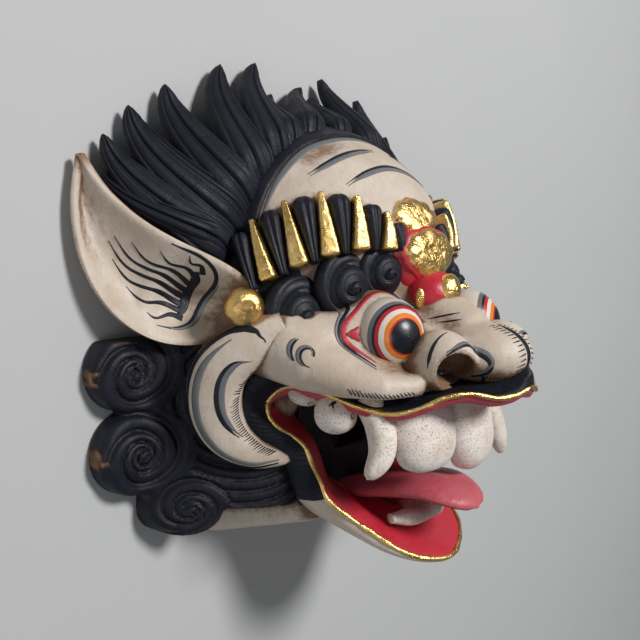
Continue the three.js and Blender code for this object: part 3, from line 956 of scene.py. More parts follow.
def add_volute(piece, centre, radius, side):
    """A snail-like coil that rises from the brow to a dark point."""
    axis = unit(np.array([side * 0.3, -0.08, 1.0]))
    base = turned(axis)
    turns = np.linspace(0, 1, 40)
    angle = -side * turns * 2 * math.pi * 2.3 + math.pi * (0.9 if side > 0 else 0.1)
    reach = radius * (0.74 * (1 - turns) ** 0.85)
    local = np.stack([reach * np.cos(angle), reach * np.sin(angle), radius * (-0.25 + 0.72 * turns)], 1)
    points = centre + local @ base.T
    ups = unit(axis * 0.8 + unit(points - (centre + np.outer(local[:, 2], axis))) * 0.6)
    sweep(piece, points, radius * (0.33 - 0.17 * turns), radius * (0.33 - 0.15 * turns), ups,
          section(3, 0.3, 0.12, 24), along=130)
    blob(piece, centre - axis * radius * 0.25, (radius * 0.75, radius * 0.75, radius * 0.7), base)
    tip = centre + axis * radius * 0.26
    widths = [radius * 0.24, radius * 0.2, 0.3]
    path = [tip, tip + axis * radius * 0.22, tip + axis * radius * 0.36]
    sweep(piece, path, widths, widths, (0, 1, 0), along=14)


def make_gold_drops():
    piece = Piece()
    for side in BOTH:
        for top, low, size in drop_places()[1::2]:
            add_plaque(piece, flip(side, top), flip(side, low), 1.8 * size, 6.2 * size)
    return piece.make("gold_drops", [paint["gold"]])


# ---------- middle of the brow ----------


def medallion(piece, centre, axis, outline, height, relief, squash):
    """A domed plaque: outline(angle) is its radius, relief(share, angle) its carving."""
    around, rings = 120, 26
    phi = np.linspace(0, 2 * math.pi, around + 1)[:-1]
    share = np.linspace(0, 1, rings)[1:]
    s, f = np.meshgrid(share, phi, indexing="ij")
    r = outline(f) * s
    z = height * np.sqrt(np.clip(1 - s**4, 0, 1)) + relief(s, f)
    top = np.stack([r * np.sin(f), squash * r * np.cos(f), z], -1)
    low = np.stack([outline(phi) * np.sin(phi), squash * outline(phi) * np.cos(phi), 0 * phi - 8], -1)
    local = np.concatenate([top.reshape(-1, 3), low, [[0, 0, height], [0, 0, -8]]])
    verts = local @ turned(axis).T + np.asarray(centre, float)
    n = len(share)
    ends = [fan((n + 1) * around, 0, around), fan((n + 1) * around + 1, n * around, around, True)]
    return piece.add(verts, [grid(n + 1, around, wrap=True), *ends])


def fan_outline(radius, lobes):
    """A shell's outline: scalloped above and drawn to a point below."""
    def outline(f):
        up = 0.5 + 0.5 * np.cos(f)
        scallop = 1 + 0.08 * np.abs(np.cos(f * lobes / 2)) * up
        point = 1 + 0.3 * np.clip(-np.cos(f), 0, 1) ** 6 - 0.16 * np.clip(-np.cos(f), 0, 1)
        return radius * scallop * point
    return outline


def fan_relief(depth, lobes):
    def relief(s, f):
        rim = np.clip((s - 0.55) / 0.4, 0, 1) ** 2
        ribs = depth * (np.abs(np.cos(f * lobes / 2)) ** 0.6 - 0.6) * rim
        x, y = s * np.sin(f), s * np.cos(f)
        slits = sum(np.exp(-(((x - at + 0.25 * y) / 0.045) ** 2) - ((y - 0.05) / 0.2) ** 2)
                    for at in (-0.28, -0.1, 0.3))
        return ribs - depth * slits
    return relief


FANS = [((-3, 58, 97), (-0.15, 0.4, 0.9), 16, 0.7), ((-2, 39, 106), (-0.1, 0.12, 0.98), 19, 0.7)]


def make_middle():
    gold, red = Piece(), Piece()
    for centre, axis, radius, squash in FANS:
        place = np.asarray(centre, float)
        medallion(gold, place, axis, fan_outline(radius, 9), 5, fan_relief(0.9, 9), squash)
        medallion(red, place - unit(np.asarray(axis)) * 1.2, axis, fan_outline(radius * 1.12, 9), 3,
                  lambda s, f: 0 * s, squash)
    blob(red, (0, 17.5, 106), (16, 13.5, 15))
    blob(red, (0, 36, 97), (21, 22, 12))
    blob(gold, (0, 20, 118), (8, 9, 5.5), turned((0, 0.05, 1)))
    for side in BOTH:
        blob(gold, flip(side, (15, 16, 109)), (2.8, 5.6, 2), turned(flip(side, (0.93, -0.05, 0.35))))
    return gold.make("middle_gold", [paint["gold"]]), red.make("middle_red", [paint["red"]])


# ---------- eyes ----------


def make_eye(side):
    centre = flip(side, EYE)
    axis = np.array([side * math.sin(EYE_TURN), 0, math.cos(EYE_TURN)])
    dirs, faces = ball(150, 80)
    angle = np.degrees(np.arccos(np.clip(dirs[:, 2], -1, 1)))
    bulge = 1 + 0.04 * np.clip(1 - angle / 30, 0, 1) ** 0.5
    verts = (dirs * bulge[:, None] * EYE_RADIUS) @ turned(axis).T + centre
    piece = Piece()
    piece.add(verts, faces, 0, angle / 180)
    return piece.make(sided("eye", side), [paint["eye"]])


# ---------- painted lines ----------

BLACK_LINE, GREY_LINE, RED_LINE = range(3)

EAR_LINES = 8  # they fan out over the hollow of each ear
# Lines on an ear or a cheek roll are drawn by stops in the surface's own two directions.
EAR_ROOTS = [(0.27, 0.8), (0.23, 0.68), (0.21, 0.45), (0.23, 0.27)]
EAR_RIM = [(0.45, 0.93), (0.3, 0.94), (0.19, 0.84), (0.15, 0.62), (0.17, 0.3), (0.22, 0.18), (0.3, 0.15)]
CHEEK_OUTLINE = [(0.1, 0.2), (0.12, -0.5), (0.2, -0.9), (0.45, -0.92), (0.75, -0.88), (0.9, -0.4)]
CHEEK_CRESCENT = [(0.2, 0.42), (0.27, 0.1), (0.48, 0.14), (0.66, 0.38)]
CHEEK_HATCH = [(0.15, 0.97), (0.3, 0.95), (0.45, 0.85), (0.7, 0.74), (0.88, 0.6)]
WRINKLE_SPAN = 51
WRINKLES = [(97, 16, -51, 0), (87, 20, -38, 34), (97, 16, 16, 51)]  # top, fall at the span, and the two ends
HAIRLINE_RADII = (79.5, 70.5)
NOSE_RIDGE = [(0, 4, 147), (0, 1, 160), (0, -9, 167), (0, -19, 162)]
NOSTRIL_ARCH = (32, -19)
MUZZLE_SIDE = np.array([-0.7, 0, 0.7])  # towards the nose along the muzzle's side
FOREHEAD_STAINS = [((-44, 91, 56), 9, 0.35), ((-32, 96, 58), 7, 0.4), ((-20, 99, 58), 8, 0.25)]


class Surface:
    """The finished pieces as one shell to paint on, in the mask's millimetres."""

    def __init__(self, pieces):
        verts, faces, count = [], [], 0
        for made in pieces:
            co = np.empty(len(made.data.vertices) * 3)
            made.data.vertices.foreach_get("co", co)
            verts.append(co.reshape(-1, 3) / MM - SHIFT)
            faces += [[count + v for v in f.vertices] for f in made.data.polygons]
            count += len(verts[-1])
        self.tree = BVHTree.FromPolygons(np.concatenate(verts).tolist(), faces)

    def nearest(self, points):
        hits = [self.tree.find_nearest(Vector(p))[:2] for p in points]
        return np.array([h[0] for h in hits]), np.array([h[1] for h in hits])

    def below(self, point, axis):
        """Where a point comes to lie when pushed back along the axis."""
        hit = self.tree.ray_cast(Vector(point + axis * RAY_START), Vector(-axis), RAY_START * 2)[0]
        return point if hit is None else np.array(hit)


def brush(piece, surface, points, widths, slot=BLACK_LINE, across=5):
    """One brush line on the surface, its half-width set at even stations."""
    points = np.asarray(points, float)
    length = np.linalg.norm(np.diff(points, axis=0), axis=1).sum()
    count = max(5, int(length / 1.1))
    path, normal = surface.nearest(resample(points, count))
    for _ in range(2):
        normal[1:-1] = unit(normal[:-2] + normal[1:-1] + normal[2:])
        path[1:-1] = path[:-2] * 0.25 + path[1:-1] * 0.5 + path[2:] * 0.25
    side = unit(np.cross(normal, np.gradient(path, axis=0)))
    half = stations(widths, np.linspace(0, 1, count))
    share = np.linspace(-1, 1, across)
    spread = path[:, None] + side[:, None] * (half[:, None] * share)[..., None]
    found, facing = surface.nearest(spread.reshape(-1, 3))
    crown = np.tile(0.12 + 0.16 * (1 - share**2), count)[:, None]
    front = (found + facing * crown).reshape(count, across, 3)
    back = (found - facing * 0.5).reshape(count, across, 3)
    board(piece, front, back, slot)


def hatch(piece, surface, path, count, reach):
    """Short hairs standing on a path: reach(point) is the step from root to tip."""
    for root in resample(path, count):
        step = np.asarray(reach(root), float) * random.uniform(0.75, 1.2)
        widths = [HAIR_STROKE, HAIR_STROKE * 0.8, 0.12]
        brush(piece, surface, [root, root + step * 0.5, root + step], widths, across=3)


def shifted(points, step):
    return np.asarray(points, float) + np.asarray(step, float)


def drawn(place, stops, count=24):
    """A line through stops given in the two directions of a surface."""
    path = resample([(u, v, 0) for u, v in stops], count)
    return place(path[:, 0], path[:, 1])


def arch(centre, radii, angles, heights):
    """Part of an ellipse seen from the front, its height going from one value to another."""
    turn = np.radians(np.linspace(*angles, 24))
    x = centre[0] + radii[0] * np.cos(turn)
    y = centre[1] + radii[1] * np.sin(turn)
    return np.stack([x, y, np.linspace(*heights, 24)], axis=1)


def swirl(centre, radii, angles):
    """A turn on the side of the muzzle, its radius going from one value to another."""
    turn = np.radians(np.linspace(*angles, 20))
    reach = np.linspace(*radii, 20)
    upright = np.array([0, 1, 0])
    return centre + np.outer(reach * np.cos(turn), MUZZLE_SIDE) + np.outer(reach * np.sin(turn), upright)


def ear_line(k):
    """One of the fan's lines, from the inner rim's side to the outer's; the middle ones are longest."""
    share = k / (EAR_LINES - 1)
    root = np.array([0.24 - 0.03 * share, 0.8 - 0.52 * share])
    tip = np.array([0.35 + 0.28 * math.sin(math.pi * share) ** 1.2, 0.91 - 0.68 * share])
    bend = np.array([0.0, 0.035])
    return drawn(ear_face, [root, root + (tip - root) * 0.35 + bend, root + (tip - root) * 0.7 - bend, tip])


def wrinkle(top, sag, start, end):
    """A line across the forehead that falls away on both sides of the middle."""
    x = np.linspace(start, end, 30)
    y = top - sag * (x / WRINKLE_SPAN) ** 2
    dome = 1 - (x / DOME_RADII[0]) ** 2 - ((y - DOME[1]) / DOME_RADII[1]) ** 2
    return np.stack([x, y, DOME[2] + DOME_RADII[2] * np.sqrt(np.clip(dome, 0, 1))], axis=1)


def paint_eyelid(piece, surface, side):
    """Red lid with black and grey outlines, round the eye and out to a corner."""
    centre = flip(side, EYE)
    axis = np.array([side * math.sin(EYE_TURN), 0, math.cos(EYE_TURN)])
    out = np.array([side * math.cos(EYE_TURN), 0, -math.sin(EYE_TURN)])
    up = np.array([0.0, 1.0, 0.0])
    angle = np.radians(np.linspace(-44, 172, 40))
    corner = np.exp(-((angle / 0.40) ** 2))
    for reach, width, slot in ((1.06, 1.5, RED_LINE), (1.17, 1.05, BLACK_LINE), (1.25, 0.8, GREY_LINE)):
        size = EYE_RADIUS * (reach + 0.38 * corner)
        ring = [centre + out * r * math.cos(a) + up * (r * math.sin(a) + 1.0) for r, a in zip(size, angle)]
        ring = [surface.below(p, axis) for p in ring]
        brush(piece, surface, ring, [0.5, width, width, width, 0.5], slot)
    dart = [surface.below(centre + out * EYE_RADIUS * reach + up, axis) for reach in (1.36, 1.2, 1.02)]
    brush(piece, surface, dart, [0.6, 2.6, 4.2], RED_LINE)
    brush(piece, surface, [p + axis * 0.6 for p in dart[1:]], [0.2, 0.8], BLACK_LINE)


def paint_ear(piece, surface, side):
    for k in range(EAR_LINES):
        brush(piece, surface, flip(side, ear_line(k)), [1.7, 1.3, 0.85, 0.6, 0.15])
    brush(piece, surface, flip(side, drawn(ear_face, EAR_ROOTS)), [1.2, 2.6, 2.2, 2.6, 2.4, 0.6])
    rim = drawn(ear_face, EAR_RIM, 40)
    brush(piece, surface, flip(side, rim), [0.3, 0.9, 1.1, 1.2, 1.2, 0.9, 0.2])
    brush(piece, surface, flip(side, rim[14:] + [-1.5, 0, 1.2]), [0.3, 1.3, 1.3, 1.1, 0.2], GREY_LINE)


def paint_cheek(piece, surface, side):
    outline = drawn(cheek_surface, CHEEK_OUTLINE, 60)
    inside = drawn(cheek_surface, [(t, across + 0.3) for t, across in CHEEK_OUTLINE[2:]], 50)
    brush(piece, surface, flip(side, inside), [0.4, 2.2, 2.2, 1.8, 0.4], GREY_LINE)
    brush(piece, surface, flip(side, outline), [0.3, 2.2, 2.6, 2.0, 1.6, 1.5, 1.4, 1.2, 0.4])
    crescent = drawn(cheek_surface, CHEEK_CRESCENT)
    brush(piece, surface, flip(side, crescent + [-1.6, 0, 1.6]), [0.2, 1.6, 1.8, 1.3, 0.2], GREY_LINE)
    brush(piece, surface, flip(side, crescent), [0.2, 1.1, 1.4, 1.2, 0.2])
    hatch(piece, surface, flip(side, drawn(cheek_surface, CHEEK_HATCH)), 44,
          lambda p: flip(side, [3.6, 1.2 if p[1] > -30 else -1.6, -2.4]))


def paint_muzzle(piece, surface, side):
    """Two swirls by the eye, the hairs along the muzzle's lower edge and a small star."""
    for line in (swirl((84, -6, 88), (6.6, 7), (115, 228)), swirl((86, -7, 93), (7, 2.4), (-90, -385))):
        brush(piece, surface, flip(side, line + [0, 0.3, -1.3]), [0.2, 1.1, 1.2, 0.9, 0.2], GREY_LINE)
        brush(piece, surface, flip(side, line), [0.2, 0.8, 0.9, 0.7, 0.5])
    edge = shifted(MUZZLE_ROLL[2:], (5, -4, 6))
    hatch(piece, surface, flip(side, edge), 17, lambda p: flip(side, [2.0, 3.0, -1.2]))
    star = np.array([69, -34.5, 93])
    brush(piece, surface, flip(side, [star + [-2, 0.5, 1], star + [2, -0.5, -1]]), [0.7, 0.8, 0.2])
    brush(piece, surface, flip(side, [star + [0, 2.5, 0], star + [0, -2.5, 1]]), [0.2, 0.7, 0.2])


def paint_nose(piece, surface, side):
    for start, end in (((17, 6, 115), (9, 9, 130)), ((15, 4, 121), (11, 6, 132))):
        brush(piece, surface, flip(side, [start, end]), [0.15, 0.5, 0.5, 0.15])
    line = flip(side, arch(NOSTRIL_ARCH, (14.0, 15.0), (190, 45), (150, 147)))
    line = np.array([surface.below(p, np.array([0.0, 0.0, 1.0])) for p in line])
    brush(piece, surface, line + [0, 1.8, 0.4], [0.3, 1.4, 1.5, 1.3, 0.3], GREY_LINE)
    brush(piece, surface, line, [0.8, 1.3, 1.4, 1.2, 0.9, 0.4])
    brush(piece, surface, flip(side, [(20, -24, 150), (12, -23, 146)]), [1.0, 0.8])
    crease = flip(side, arch((33, -14), (13.5, 15), (90, -5), (137, 134)))
    brush(piece, surface, crease, [0.15, 0.5, 0.9, 1.0, 0.2])
    under = flip(side, [(17, -24, 148), (6, -24, 159)])
    hatch(piece, surface, under, 9, lambda p: flip(side, [0.5, 3.6, 1.2]))
    ridge = shifted(bezier(NOSE_RIDGE, 20), (3, 0, 0))
    hatch(piece, surface, flip(side, ridge), 15, lambda p: flip(side, [4.2, -1.2, -1.5]))


def make_lines(surface):
    piece = Piece()
    for values in WRINKLES:
        line = wrinkle(*values)
        brush(piece, surface, line + [0, 0, 2.2], [0.2, 1.8, 1.8, 1.8, 0.2], GREY_LINE)
        brush(piece, surface, line, [0.15, 1.0, 1.5, 1.1, 0.15])
    brush(piece, surface, bezier(NOSE_RIDGE, 20), [0.6, 2.0, 2.2, 1.9, 0.5])
    for side in BOTH:
        paint_ear(piece, surface, side)
        paint_cheek(piece, surface, side)
        paint_muzzle(piece, surface, side)
        paint_nose(piece, surface, side)
        paint_eyelid(piece, surface, side)
    turn = np.radians(np.linspace(16, 164, 60))
    x, y = HAIRLINE_RADII[0] * np.cos(turn), DOME[1] + HAIRLINE_RADII[1] * np.sin(turn)
    hairline = np.stack([x, y, CAP_EDGE + 2.5 + CAP_CLIMB * np.maximum(y - CAP_BEND, 0)], 1)
    brush(piece, surface, hairline, [0.8, 2.4, 2.6, 2.4, 0.8], GREY_LINE)
    materials = [paint["line"], paint["grey"], paint["red"]]
    return piece.make("painted_lines", materials)


def write_shade(made, surface, stains=()):
    """Marks how closed in each vertex is, from 0 in the open to 1 in a corner, for the paint's painted shade;
    stains add to it.
    """
    mesh = made.data
    n = len(mesh.vertices)
    co, normal = np.empty(n * 3), np.empty(n * 3)
    mesh.vertices.foreach_get("co", co)
    mesh.vertices.foreach_get("normal", normal)
    co = co.reshape(-1, 3) / MM - SHIFT
    normal = normal.reshape(-1, 3)
    start = co + normal * 0.8
    blocked = np.zeros(n)
    for _ in range(SHADE_RAYS):
        aim = unit(unit(random.normal(size=(n, 3))) * 0.95 + normal)
        cast = surface.tree.ray_cast
        blocked += [cast(Vector(a), Vector(b), SHADE_REACH)[0] is not None for a, b in zip(start, aim)]
    edges = np.empty(len(mesh.edges) * 2, np.int32)
    mesh.edges.foreach_get("vertices", edges)
    first = np.concatenate([edges[0::2], edges[1::2]])
    second = np.concatenate([edges[1::2], edges[0::2]])
    links = np.maximum(np.bincount(first, minlength=n), 1)
    shade = blocked / SHADE_RAYS
    for _ in range(4):
        shade = 0.4 * shade + 0.6 * np.bincount(first, shade[second], n) / links
    for centre, radius, amount in stains:
        shade = shade + amount * np.exp(-((np.linalg.norm(co - centre, axis=1) / radius) ** 2))
    write_marks(mesh, "shade", shade)


# ---------- paint ----------


class Nodes:
    """A material's node tree, built by short calls."""

    def __init__(self, name):
        self.material = bpy.data.materials.new(name)
        self.material.use_nodes = True
        self.tree = self.material.node_tree
        self.tree.nodes.clear()
        self.place = self.new("ShaderNodeTexCoord").outputs["Object"]

    def new(self, kind, **settings):
        node = self.tree.nodes.new(kind)
        for key, value in settings.items():
            setattr(node, key, value)
        return node

    def put(self, socket, value):
        if isinstance(value, bpy.types.NodeSocket):
            self.tree.links.new(value, socket)
        else:
            socket.default_value = value

    def attribute(self, name):
        return self.new("ShaderNodeAttribute", attribute_name=name).outputs["Fac"]

    def noise(self, size_mm, detail=4.0, rough=0.6, stretch=(1, 1, 1)):
        place = self.new("ShaderNodeMapping")
        place.inputs["Scale"].default_value = stretch
        self.put(place.inputs["Vector"], self.place)
        node = self.new("ShaderNodeTexNoise")
        self.put(node.inputs["Vector"], place.outputs["Vector"])
        node.inputs["Scale"].default_value = 1000 / size_mm
        node.inputs["Detail"].default_value = detail
        node.inputs["Roughness"].default_value = rough
        return node.outputs["Fac"]

    def cells(self, size_mm):
        node = self.new("ShaderNodeTexVoronoi")
        self.put(node.inputs["Vector"], self.place)
        node.inputs["Scale"].default_value = 1000 / size_mm
        return node.outputs["Distance"]

    def math(self, operation, a, b=0.0, clamp=False):
        node = self.new("ShaderNodeMath", operation=operation, use_clamp=clamp)
        self.put(node.inputs[0], a)
        self.put(node.inputs[1], b)
        return node.outputs[0]

    def plus(self, a, b, clamp=False):
        return self.math("ADD", a, b, clamp)

    def times(self, a, b):
        return self.math("MULTIPLY", a, b)

    def between(self, value, low, high):
        """0 below low, 1 above high, smooth between; low may be above high."""
        node = self.new("ShaderNodeMapRange", interpolation_type="SMOOTHSTEP", clamp=True)
        self.put(node.inputs["Value"], value)
        start, end = (0.0, 1.0) if low < high else (1.0, 0.0)
        for key, number in zip(("From Min", "From Max", "To Min", "To Max"),
                               (min(low, high), max(low, high), start, end)):
            node.inputs[key].default_value = number
        return node.outputs["Result"]

    def mix(self, share, a, b):
        node = self.new("ShaderNodeMix", data_type="RGBA")
        for key, value in (("Factor_Float", share), ("A_Color", a), ("B_Color", b)):
            socket = next(s for s in node.inputs if s.identifier == key)
            self.put(socket, (*value, 1.0) if isinstance(value, tuple) else value)
        return next(s for s in node.outputs if s.identifier == "Result_Color")

    def span(self, share, low, high):
        return self.plus(self.times(share, high - low), low)

    def finish(self, colour, rough, bump, bump_mm, metallic=0.0, **constants):
        shader = self.new("ShaderNodeBsdfPrincipled")
        self.put(shader.inputs["Base Color"], colour)
        self.put(shader.inputs["Roughness"], rough)
        self.put(shader.inputs["Metallic"], metallic)
        for key, value in constants.items():
            shader.inputs[key.replace("_", " ")].default_value = value
        relief = self.new("ShaderNodeBump")
        relief.inputs["Strength"].default_value = 1.0
        relief.inputs["Distance"].default_value = bump_mm * MM
        self.put(relief.inputs["Height"], bump)
        self.put(shader.inputs["Normal"], relief.outputs["Normal"])
        out = self.new("ShaderNodeOutputMaterial")
        self.put(out.inputs["Surface"], shader.outputs["BSDF"])
        return self.material


WOOD_DARK = (0.12, 0.055, 0.026)
WOOD_LIGHT = (0.36, 0.20, 0.10)
GRIME = (0.10, 0.062, 0.036)
CORNER_SHADE_AND_STAIN = (0.20, 0.105, 0.055)  # painted shade in closed-in corners and creases, with dust and stains
CREAM = (0.66, 0.575, 0.49)
CREAM_WORN = (0.52, 0.41, 0.31)
BLACK = (0.0065, 0.0075, 0.0135)
BLACK_DUSTY = (0.016, 0.0175, 0.026)
GOLD = (0.86, 0.56, 0.19)
GOLD_DARK = (0.34, 0.17, 0.045)
RED = (0.50, 0.012, 0.028)
RED_WORN = (0.50, 0.035, 0.055)
LIP = (0.40, 0.085, 0.105)
TONGUE = (0.46, 0.06, 0.085)
TONGUE_PALE = (0.56, 0.13, 0.15)
TOOTH = (0.80, 0.73, 0.66)
TOOTH_SPECK = (0.42, 0.26, 0.15)
GREY = (0.13, 0.14, 0.15)
ORANGE = (0.72, 0.22, 0.022)
EYE_RED = (0.52, 0.018, 0.034)
EYE_WHITE = (0.74, 0.68, 0.61)


def wood_colour(g):
    grain = g.noise(9, 6, 0.65, (1.0, 0.25, 1.0))
    fine = g.noise(1.6, 3, 0.6, (1.0, 0.15, 1.0))
    colour = g.mix(g.between(grain, 0.3, 0.7), WOOD_DARK, WOOD_LIGHT)
    return g.mix(g.times(g.between(fine, 0.45, 0.7), 0.35), colour, GRIME)


def painted(name, colour, worn, rough, grime=0.8, chips=0.5, specks=0.4, **constants):
    """Hand-brushed paint on carved wood: dirty in its grooves, darkened with painted shade and dust where
    other parts close it in, rubbed and chipped on its edges.
    """
    g = Nodes(name)
    deep = g.attribute("cavity")
    broad = g.noise(38, 5, 0.6)
    middle = g.noise(9, 5, 0.65)
    fine = g.noise(1.4, 4, 0.6)
    paint_colour = g.mix(g.between(broad, 0.35, 0.72), colour, worn)
    paint_colour = g.mix(g.times(g.between(middle, 0.55, 0.8), 0.45), paint_colour, worn)
    streaks = g.between(g.noise(2.6, 4, 0.6, (1.0, 0.12, 1.0)), 0.42, 0.72)
    paint_colour = g.mix(g.times(streaks, 0.4), paint_colour, worn)
    paint_colour = g.mix(g.times(g.between(fine, 0.5, 0.72), 0.4), paint_colour, worn)
    groove = g.plus(deep, g.times(g.math("SUBTRACT", middle, 0.5), 0.5))
    dirty = g.times(g.between(groove, 0.05, 0.75), grime)
    paint_colour = g.mix(dirty, paint_colour, GRIME)
    # Painted shade: brown where other parts close the surface in, mottled like dust, with the forehead stains
    # added to the same mark.
    closed_in = g.times(g.attribute("shade"), g.span(g.noise(2.2, 5, 0.7), 0.1, 1.9))
    shade_and_stain = g.times(g.between(closed_in, 0.07, 0.44), 0.9)
    paint_colour = g.mix(shade_and_stain, paint_colour, CORNER_SHADE_AND_STAIN)
    dots = g.times(g.between(g.noise(3.1, 5, 0.7), 0.66, 0.74), specks)
    paint_colour = g.mix(dots, paint_colour, GRIME)
    rubbed = g.times(g.math("SUBTRACT", fine, 0.5), 0.9)
    edge = g.plus(g.times(deep, -1.0), rubbed)
    chipped = g.times(g.between(edge, 0.55, 0.75), chips)
    bare = g.attribute("mark")
    raw = wood_colour(g)
    paint_colour = g.mix(chipped, paint_colour, raw)
    paint_colour = g.mix(bare, paint_colour, raw)
    gloss = g.span(g.between(middle, 0.3, 0.7), rough - 0.07, rough + 0.1)
    gloss = g.plus(gloss, g.times(dirty, 0.2), clamp=True)
    brush = g.noise(2.2, 3, 0.5, (1.0, 0.2, 1.0))
    height = g.plus(g.times(fine, 0.35), g.times(brush, 0.35))
    height = g.plus(height, g.times(middle, 1.1))
    height = g.math("SUBTRACT", height, g.times(chipped, 0.8))
    chisel = g.times(g.cells(9.0), g.times(bare, 3.0))
    height = g.plus(height, chisel)
    return g.finish(paint_colour, gloss, height, PAINT_RELIEF, **constants)


def gilded():
    """Gold leaf over red ground: wrinkled, rubbed dark in its folds."""
    g = Nodes("gold_leaf")
    deep = g.attribute("cavity")
    wrinkle = g.noise(3.2, 6, 0.62)
    crease = g.cells(4.5)
    patches = g.noise(14, 4, 0.6)
    colour = g.mix(g.between(patches, 0.35, 0.75), GOLD, (0.95, 0.68, 0.28))
    worn = g.plus(g.between(g.noise(2.0, 5, 0.7), 0.60, 0.74), g.between(deep, 0.15, 0.7), clamp=True)
    colour = g.mix(g.times(worn, 0.75), colour, GOLD_DARK)
    rough = g.span(g.between(patches, 0.3, 0.8), 0.24, 0.40)
    rough = g.plus(rough, g.times(worn, 0.25))
    height = g.plus(wrinkle, g.times(crease, 0.35))
    metal = g.math("SUBTRACT", 1.0, g.times(worn, 0.35))
    return g.finish(colour, rough, height, 0.75, metal)


def toothy():
    """Chalky white paint over coarse wood: pitted and speckled brown."""
    g = Nodes("tooth_white")
    deep = g.attribute("cavity")
    pits = g.between(g.noise(0.9, 3, 0.6), 0.55, 0.68)
    broad = g.noise(12, 5, 0.6)
    colour = g.mix(g.between(broad, 0.4, 0.75), TOOTH, (0.66, 0.55, 0.45))
    colour = g.mix(g.times(pits, 0.4), colour, TOOTH_SPECK)
    dirt = g.times(g.between(deep, 0.05, 0.6), 0.7)
    colour = g.mix(dirt, colour, GRIME)
    height = g.math("SUBTRACT", g.times(broad, 0.8), g.times(pits, 0.45))
    return g.finish(colour, g.span(broad, 0.5, 0.7), height, 0.5)


def raw_wood():
    g = Nodes("carved_wood")
    colour = wood_colour(g)
    height = g.plus(g.cells(8.0), g.times(g.noise(1.6, 4, 0.6, (1, 0.2, 1)), 0.5))
    return g.finish(colour, g.span(g.noise(6), 0.6, 0.85), height, 0.6)


def eye_rings():
    """Painted rings, by the angle from the eye's axis that each point is marked with."""
    g = Nodes("eye_rings")
    ripple = g.times(g.math("SUBTRACT", g.noise(7, 3, 0.5), 0.5), 0.012)
    share = g.plus(g.attribute("mark"), ripple)
    rings = g.new("ShaderNodeValToRGB")
    rings.color_ramp.interpolation = "CONSTANT"
    stops = [(0, BLACK), (27, EYE_RED), (30, ORANGE), (38, EYE_WHITE), (47, EYE_RED), (53, BLACK),
             (58, GREY), (66, CREAM)]
    for k, (degrees, colour) in enumerate(stops):
        element = rings.color_ramp.elements[0] if k == 0 else rings.color_ramp.elements.new(degrees / 180)
        element.color = (*colour, 1)
    rings.color_ramp.elements[-1].color = (*CREAM, 1)
    g.put(rings.inputs["Fac"], share)
    worn = g.times(g.between(g.noise(2.4, 5, 0.7), 0.6, 0.72), 0.4)
    colour = g.mix(worn, rings.outputs["Color"], GRIME)
    middle = g.noise(5, 4, 0.6)
    height = g.plus(middle, g.times(g.noise(1.2, 3, 0.5), 0.3))
    return g.finish(colour, g.span(middle, 0.25, 0.45), height, 0.15)


paint = {
    "cream": painted("cream_paint", CREAM, CREAM_WORN, 0.52, grime=0.75, chips=0.5),
    "black": painted("black_paint", BLACK, BLACK_DUSTY, 0.5, grime=0.1, chips=0.12, specks=0.1,
                     Specular_IOR_Level=0.22),
    "line": painted("black_line", BLACK, BLACK_DUSTY, 0.5, grime=0.1, chips=0, specks=0.1,
                    Specular_IOR_Level=0.3),
    "red": painted("red_paint", RED, RED_WORN, 0.40, grime=0.6, chips=0.3, specks=0.3),
    "lip": painted("lip_paint", LIP, RED_WORN, 0.45, grime=0.6, chips=0.2, specks=0.2),
    "tongue": painted("tongue_paint", TONGUE, TONGUE_PALE, 0.45, grime=0.4, chips=0.2, specks=0.25),
    "grey": painted("grey_paint", GREY, (0.17, 0.18, 0.19), 0.5, grime=0.3, chips=0.2, specks=0.2),
    "gold": gilded(),
    "tooth": toothy(),
    "wood": raw_wood(),
    "eye": eye_rings(),
}


# ---------- the mask ----------

face = make_face()
hair = make_hair()
beard = make_beard()
make_mouth_band()
make_jaw()
jaw_back = make_jaw_back()
make_upper_lip()
make_throat_shade_wall()
make_gold_edges()
teeth = make_upper_teeth()
molars = make_molars()
make_tongue()
make_brow()
make_gold_drops()
make_middle()
ears = [make_ear(side) for side in BOTH]
cheeks = [make_cheek_roll(side) for side in BOTH]
for side in BOTH:
    make_stud(side)
    make_eye(side)
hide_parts("mask_block")
everything = Surface(pieces)
write_shade(face, everything, FOREHEAD_STAINS)
for made in (teeth, molars, jaw_back, *ears, *cheeks):
    write_shade(made, everything)
make_lines(Surface([face, molars, *ears, *cheeks]))


# ---------- floor, light and camera ----------


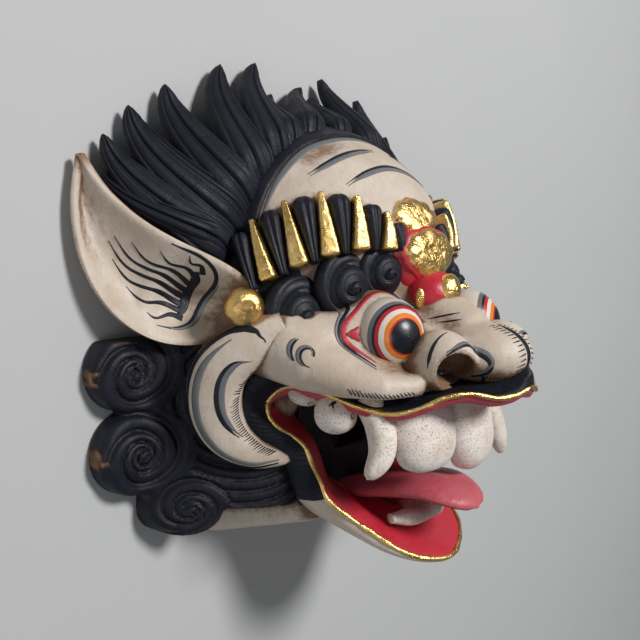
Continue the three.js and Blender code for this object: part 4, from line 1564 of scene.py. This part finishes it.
def plain_floor():
    g = Nodes("pale_floor")
    soft = g.noise(160, 3, 0.5)
    colour = g.mix(soft, (0.50, 0.50, 0.50), (0.53, 0.53, 0.525))
    material = g.finish(colour, g.span(soft, 0.75, 0.85), g.noise(1.5, 2, 0.5), 0.05)
    half = 3.0
    mesh = bpy.data.meshes.new("floor")
    corners = [(-half, -half, 0), (half, -half, 0), (half, half, 0), (-half, half, 0)]
    mesh.from_pydata(corners, [], [(0, 1, 2, 3)])
    mesh.materials.append(material)
    floor = bpy.data.objects.new("floor", mesh)
    bpy.context.scene.collection.objects.link(floor)


def lamp(name, place, aim, size, watts):
    light = bpy.data.lights.new(name, "AREA")
    light.shape = "DISK"
    light.size = size
    light.energy = watts
    made = bpy.data.objects.new(name, light)
    made.location = place
    made.rotation_euler = (Vector(aim) - Vector(place)).to_track_quat("-Z", "Y").to_euler()
    bpy.context.scene.collection.objects.link(made)


CAMERA_PLACE = np.array([-381.0, 50.0, 347.0])
CAMERA_ACROSS = math.radians(50)
CAMERA_DOWN = math.radians(6)
CAMERA_LENS = 46.1
WORLD_STRENGTH = 0.155


def photo_camera():
    across, down = CAMERA_ACROSS, CAMERA_DOWN
    forward = Vector((math.sin(across) * math.cos(down), -math.sin(down), -math.cos(across) * math.cos(down)))
    right = Vector((math.cos(across), 0, math.sin(across)))
    up = right.cross(forward)
    camera = bpy.data.objects.new("camera", bpy.data.cameras.new("camera"))
    camera.data.lens = CAMERA_LENS
    camera.data.sensor_width = 36
    place = (CAMERA_PLACE + SHIFT) * MM
    axes = Matrix((right, up, -forward)).transposed()
    camera.matrix_world = Matrix.Translation(Vector(place)) @ axes.to_4x4()
    bpy.context.scene.collection.objects.link(camera)
    bpy.context.scene.camera = camera


plain_floor()
photo_camera()
lamp("key", (0.15, 0.9, 1.75), (0, 0, 0.06), 0.5, 35)
lamp("fill", (-1.4, -0.3, 0.8), (-0.4, -0.2, 0.0), 0.8, 3.0)
world = bpy.data.worlds.new("studio")
world.use_nodes = True
world.node_tree.nodes["Background"].inputs["Color"].default_value = (0.9, 0.95, 1.0, 1)
world.node_tree.nodes["Background"].inputs["Strength"].default_value = WORLD_STRENGTH
bpy.context.scene.world = world
bpy.context.scene.view_settings.view_transform = "Standard"
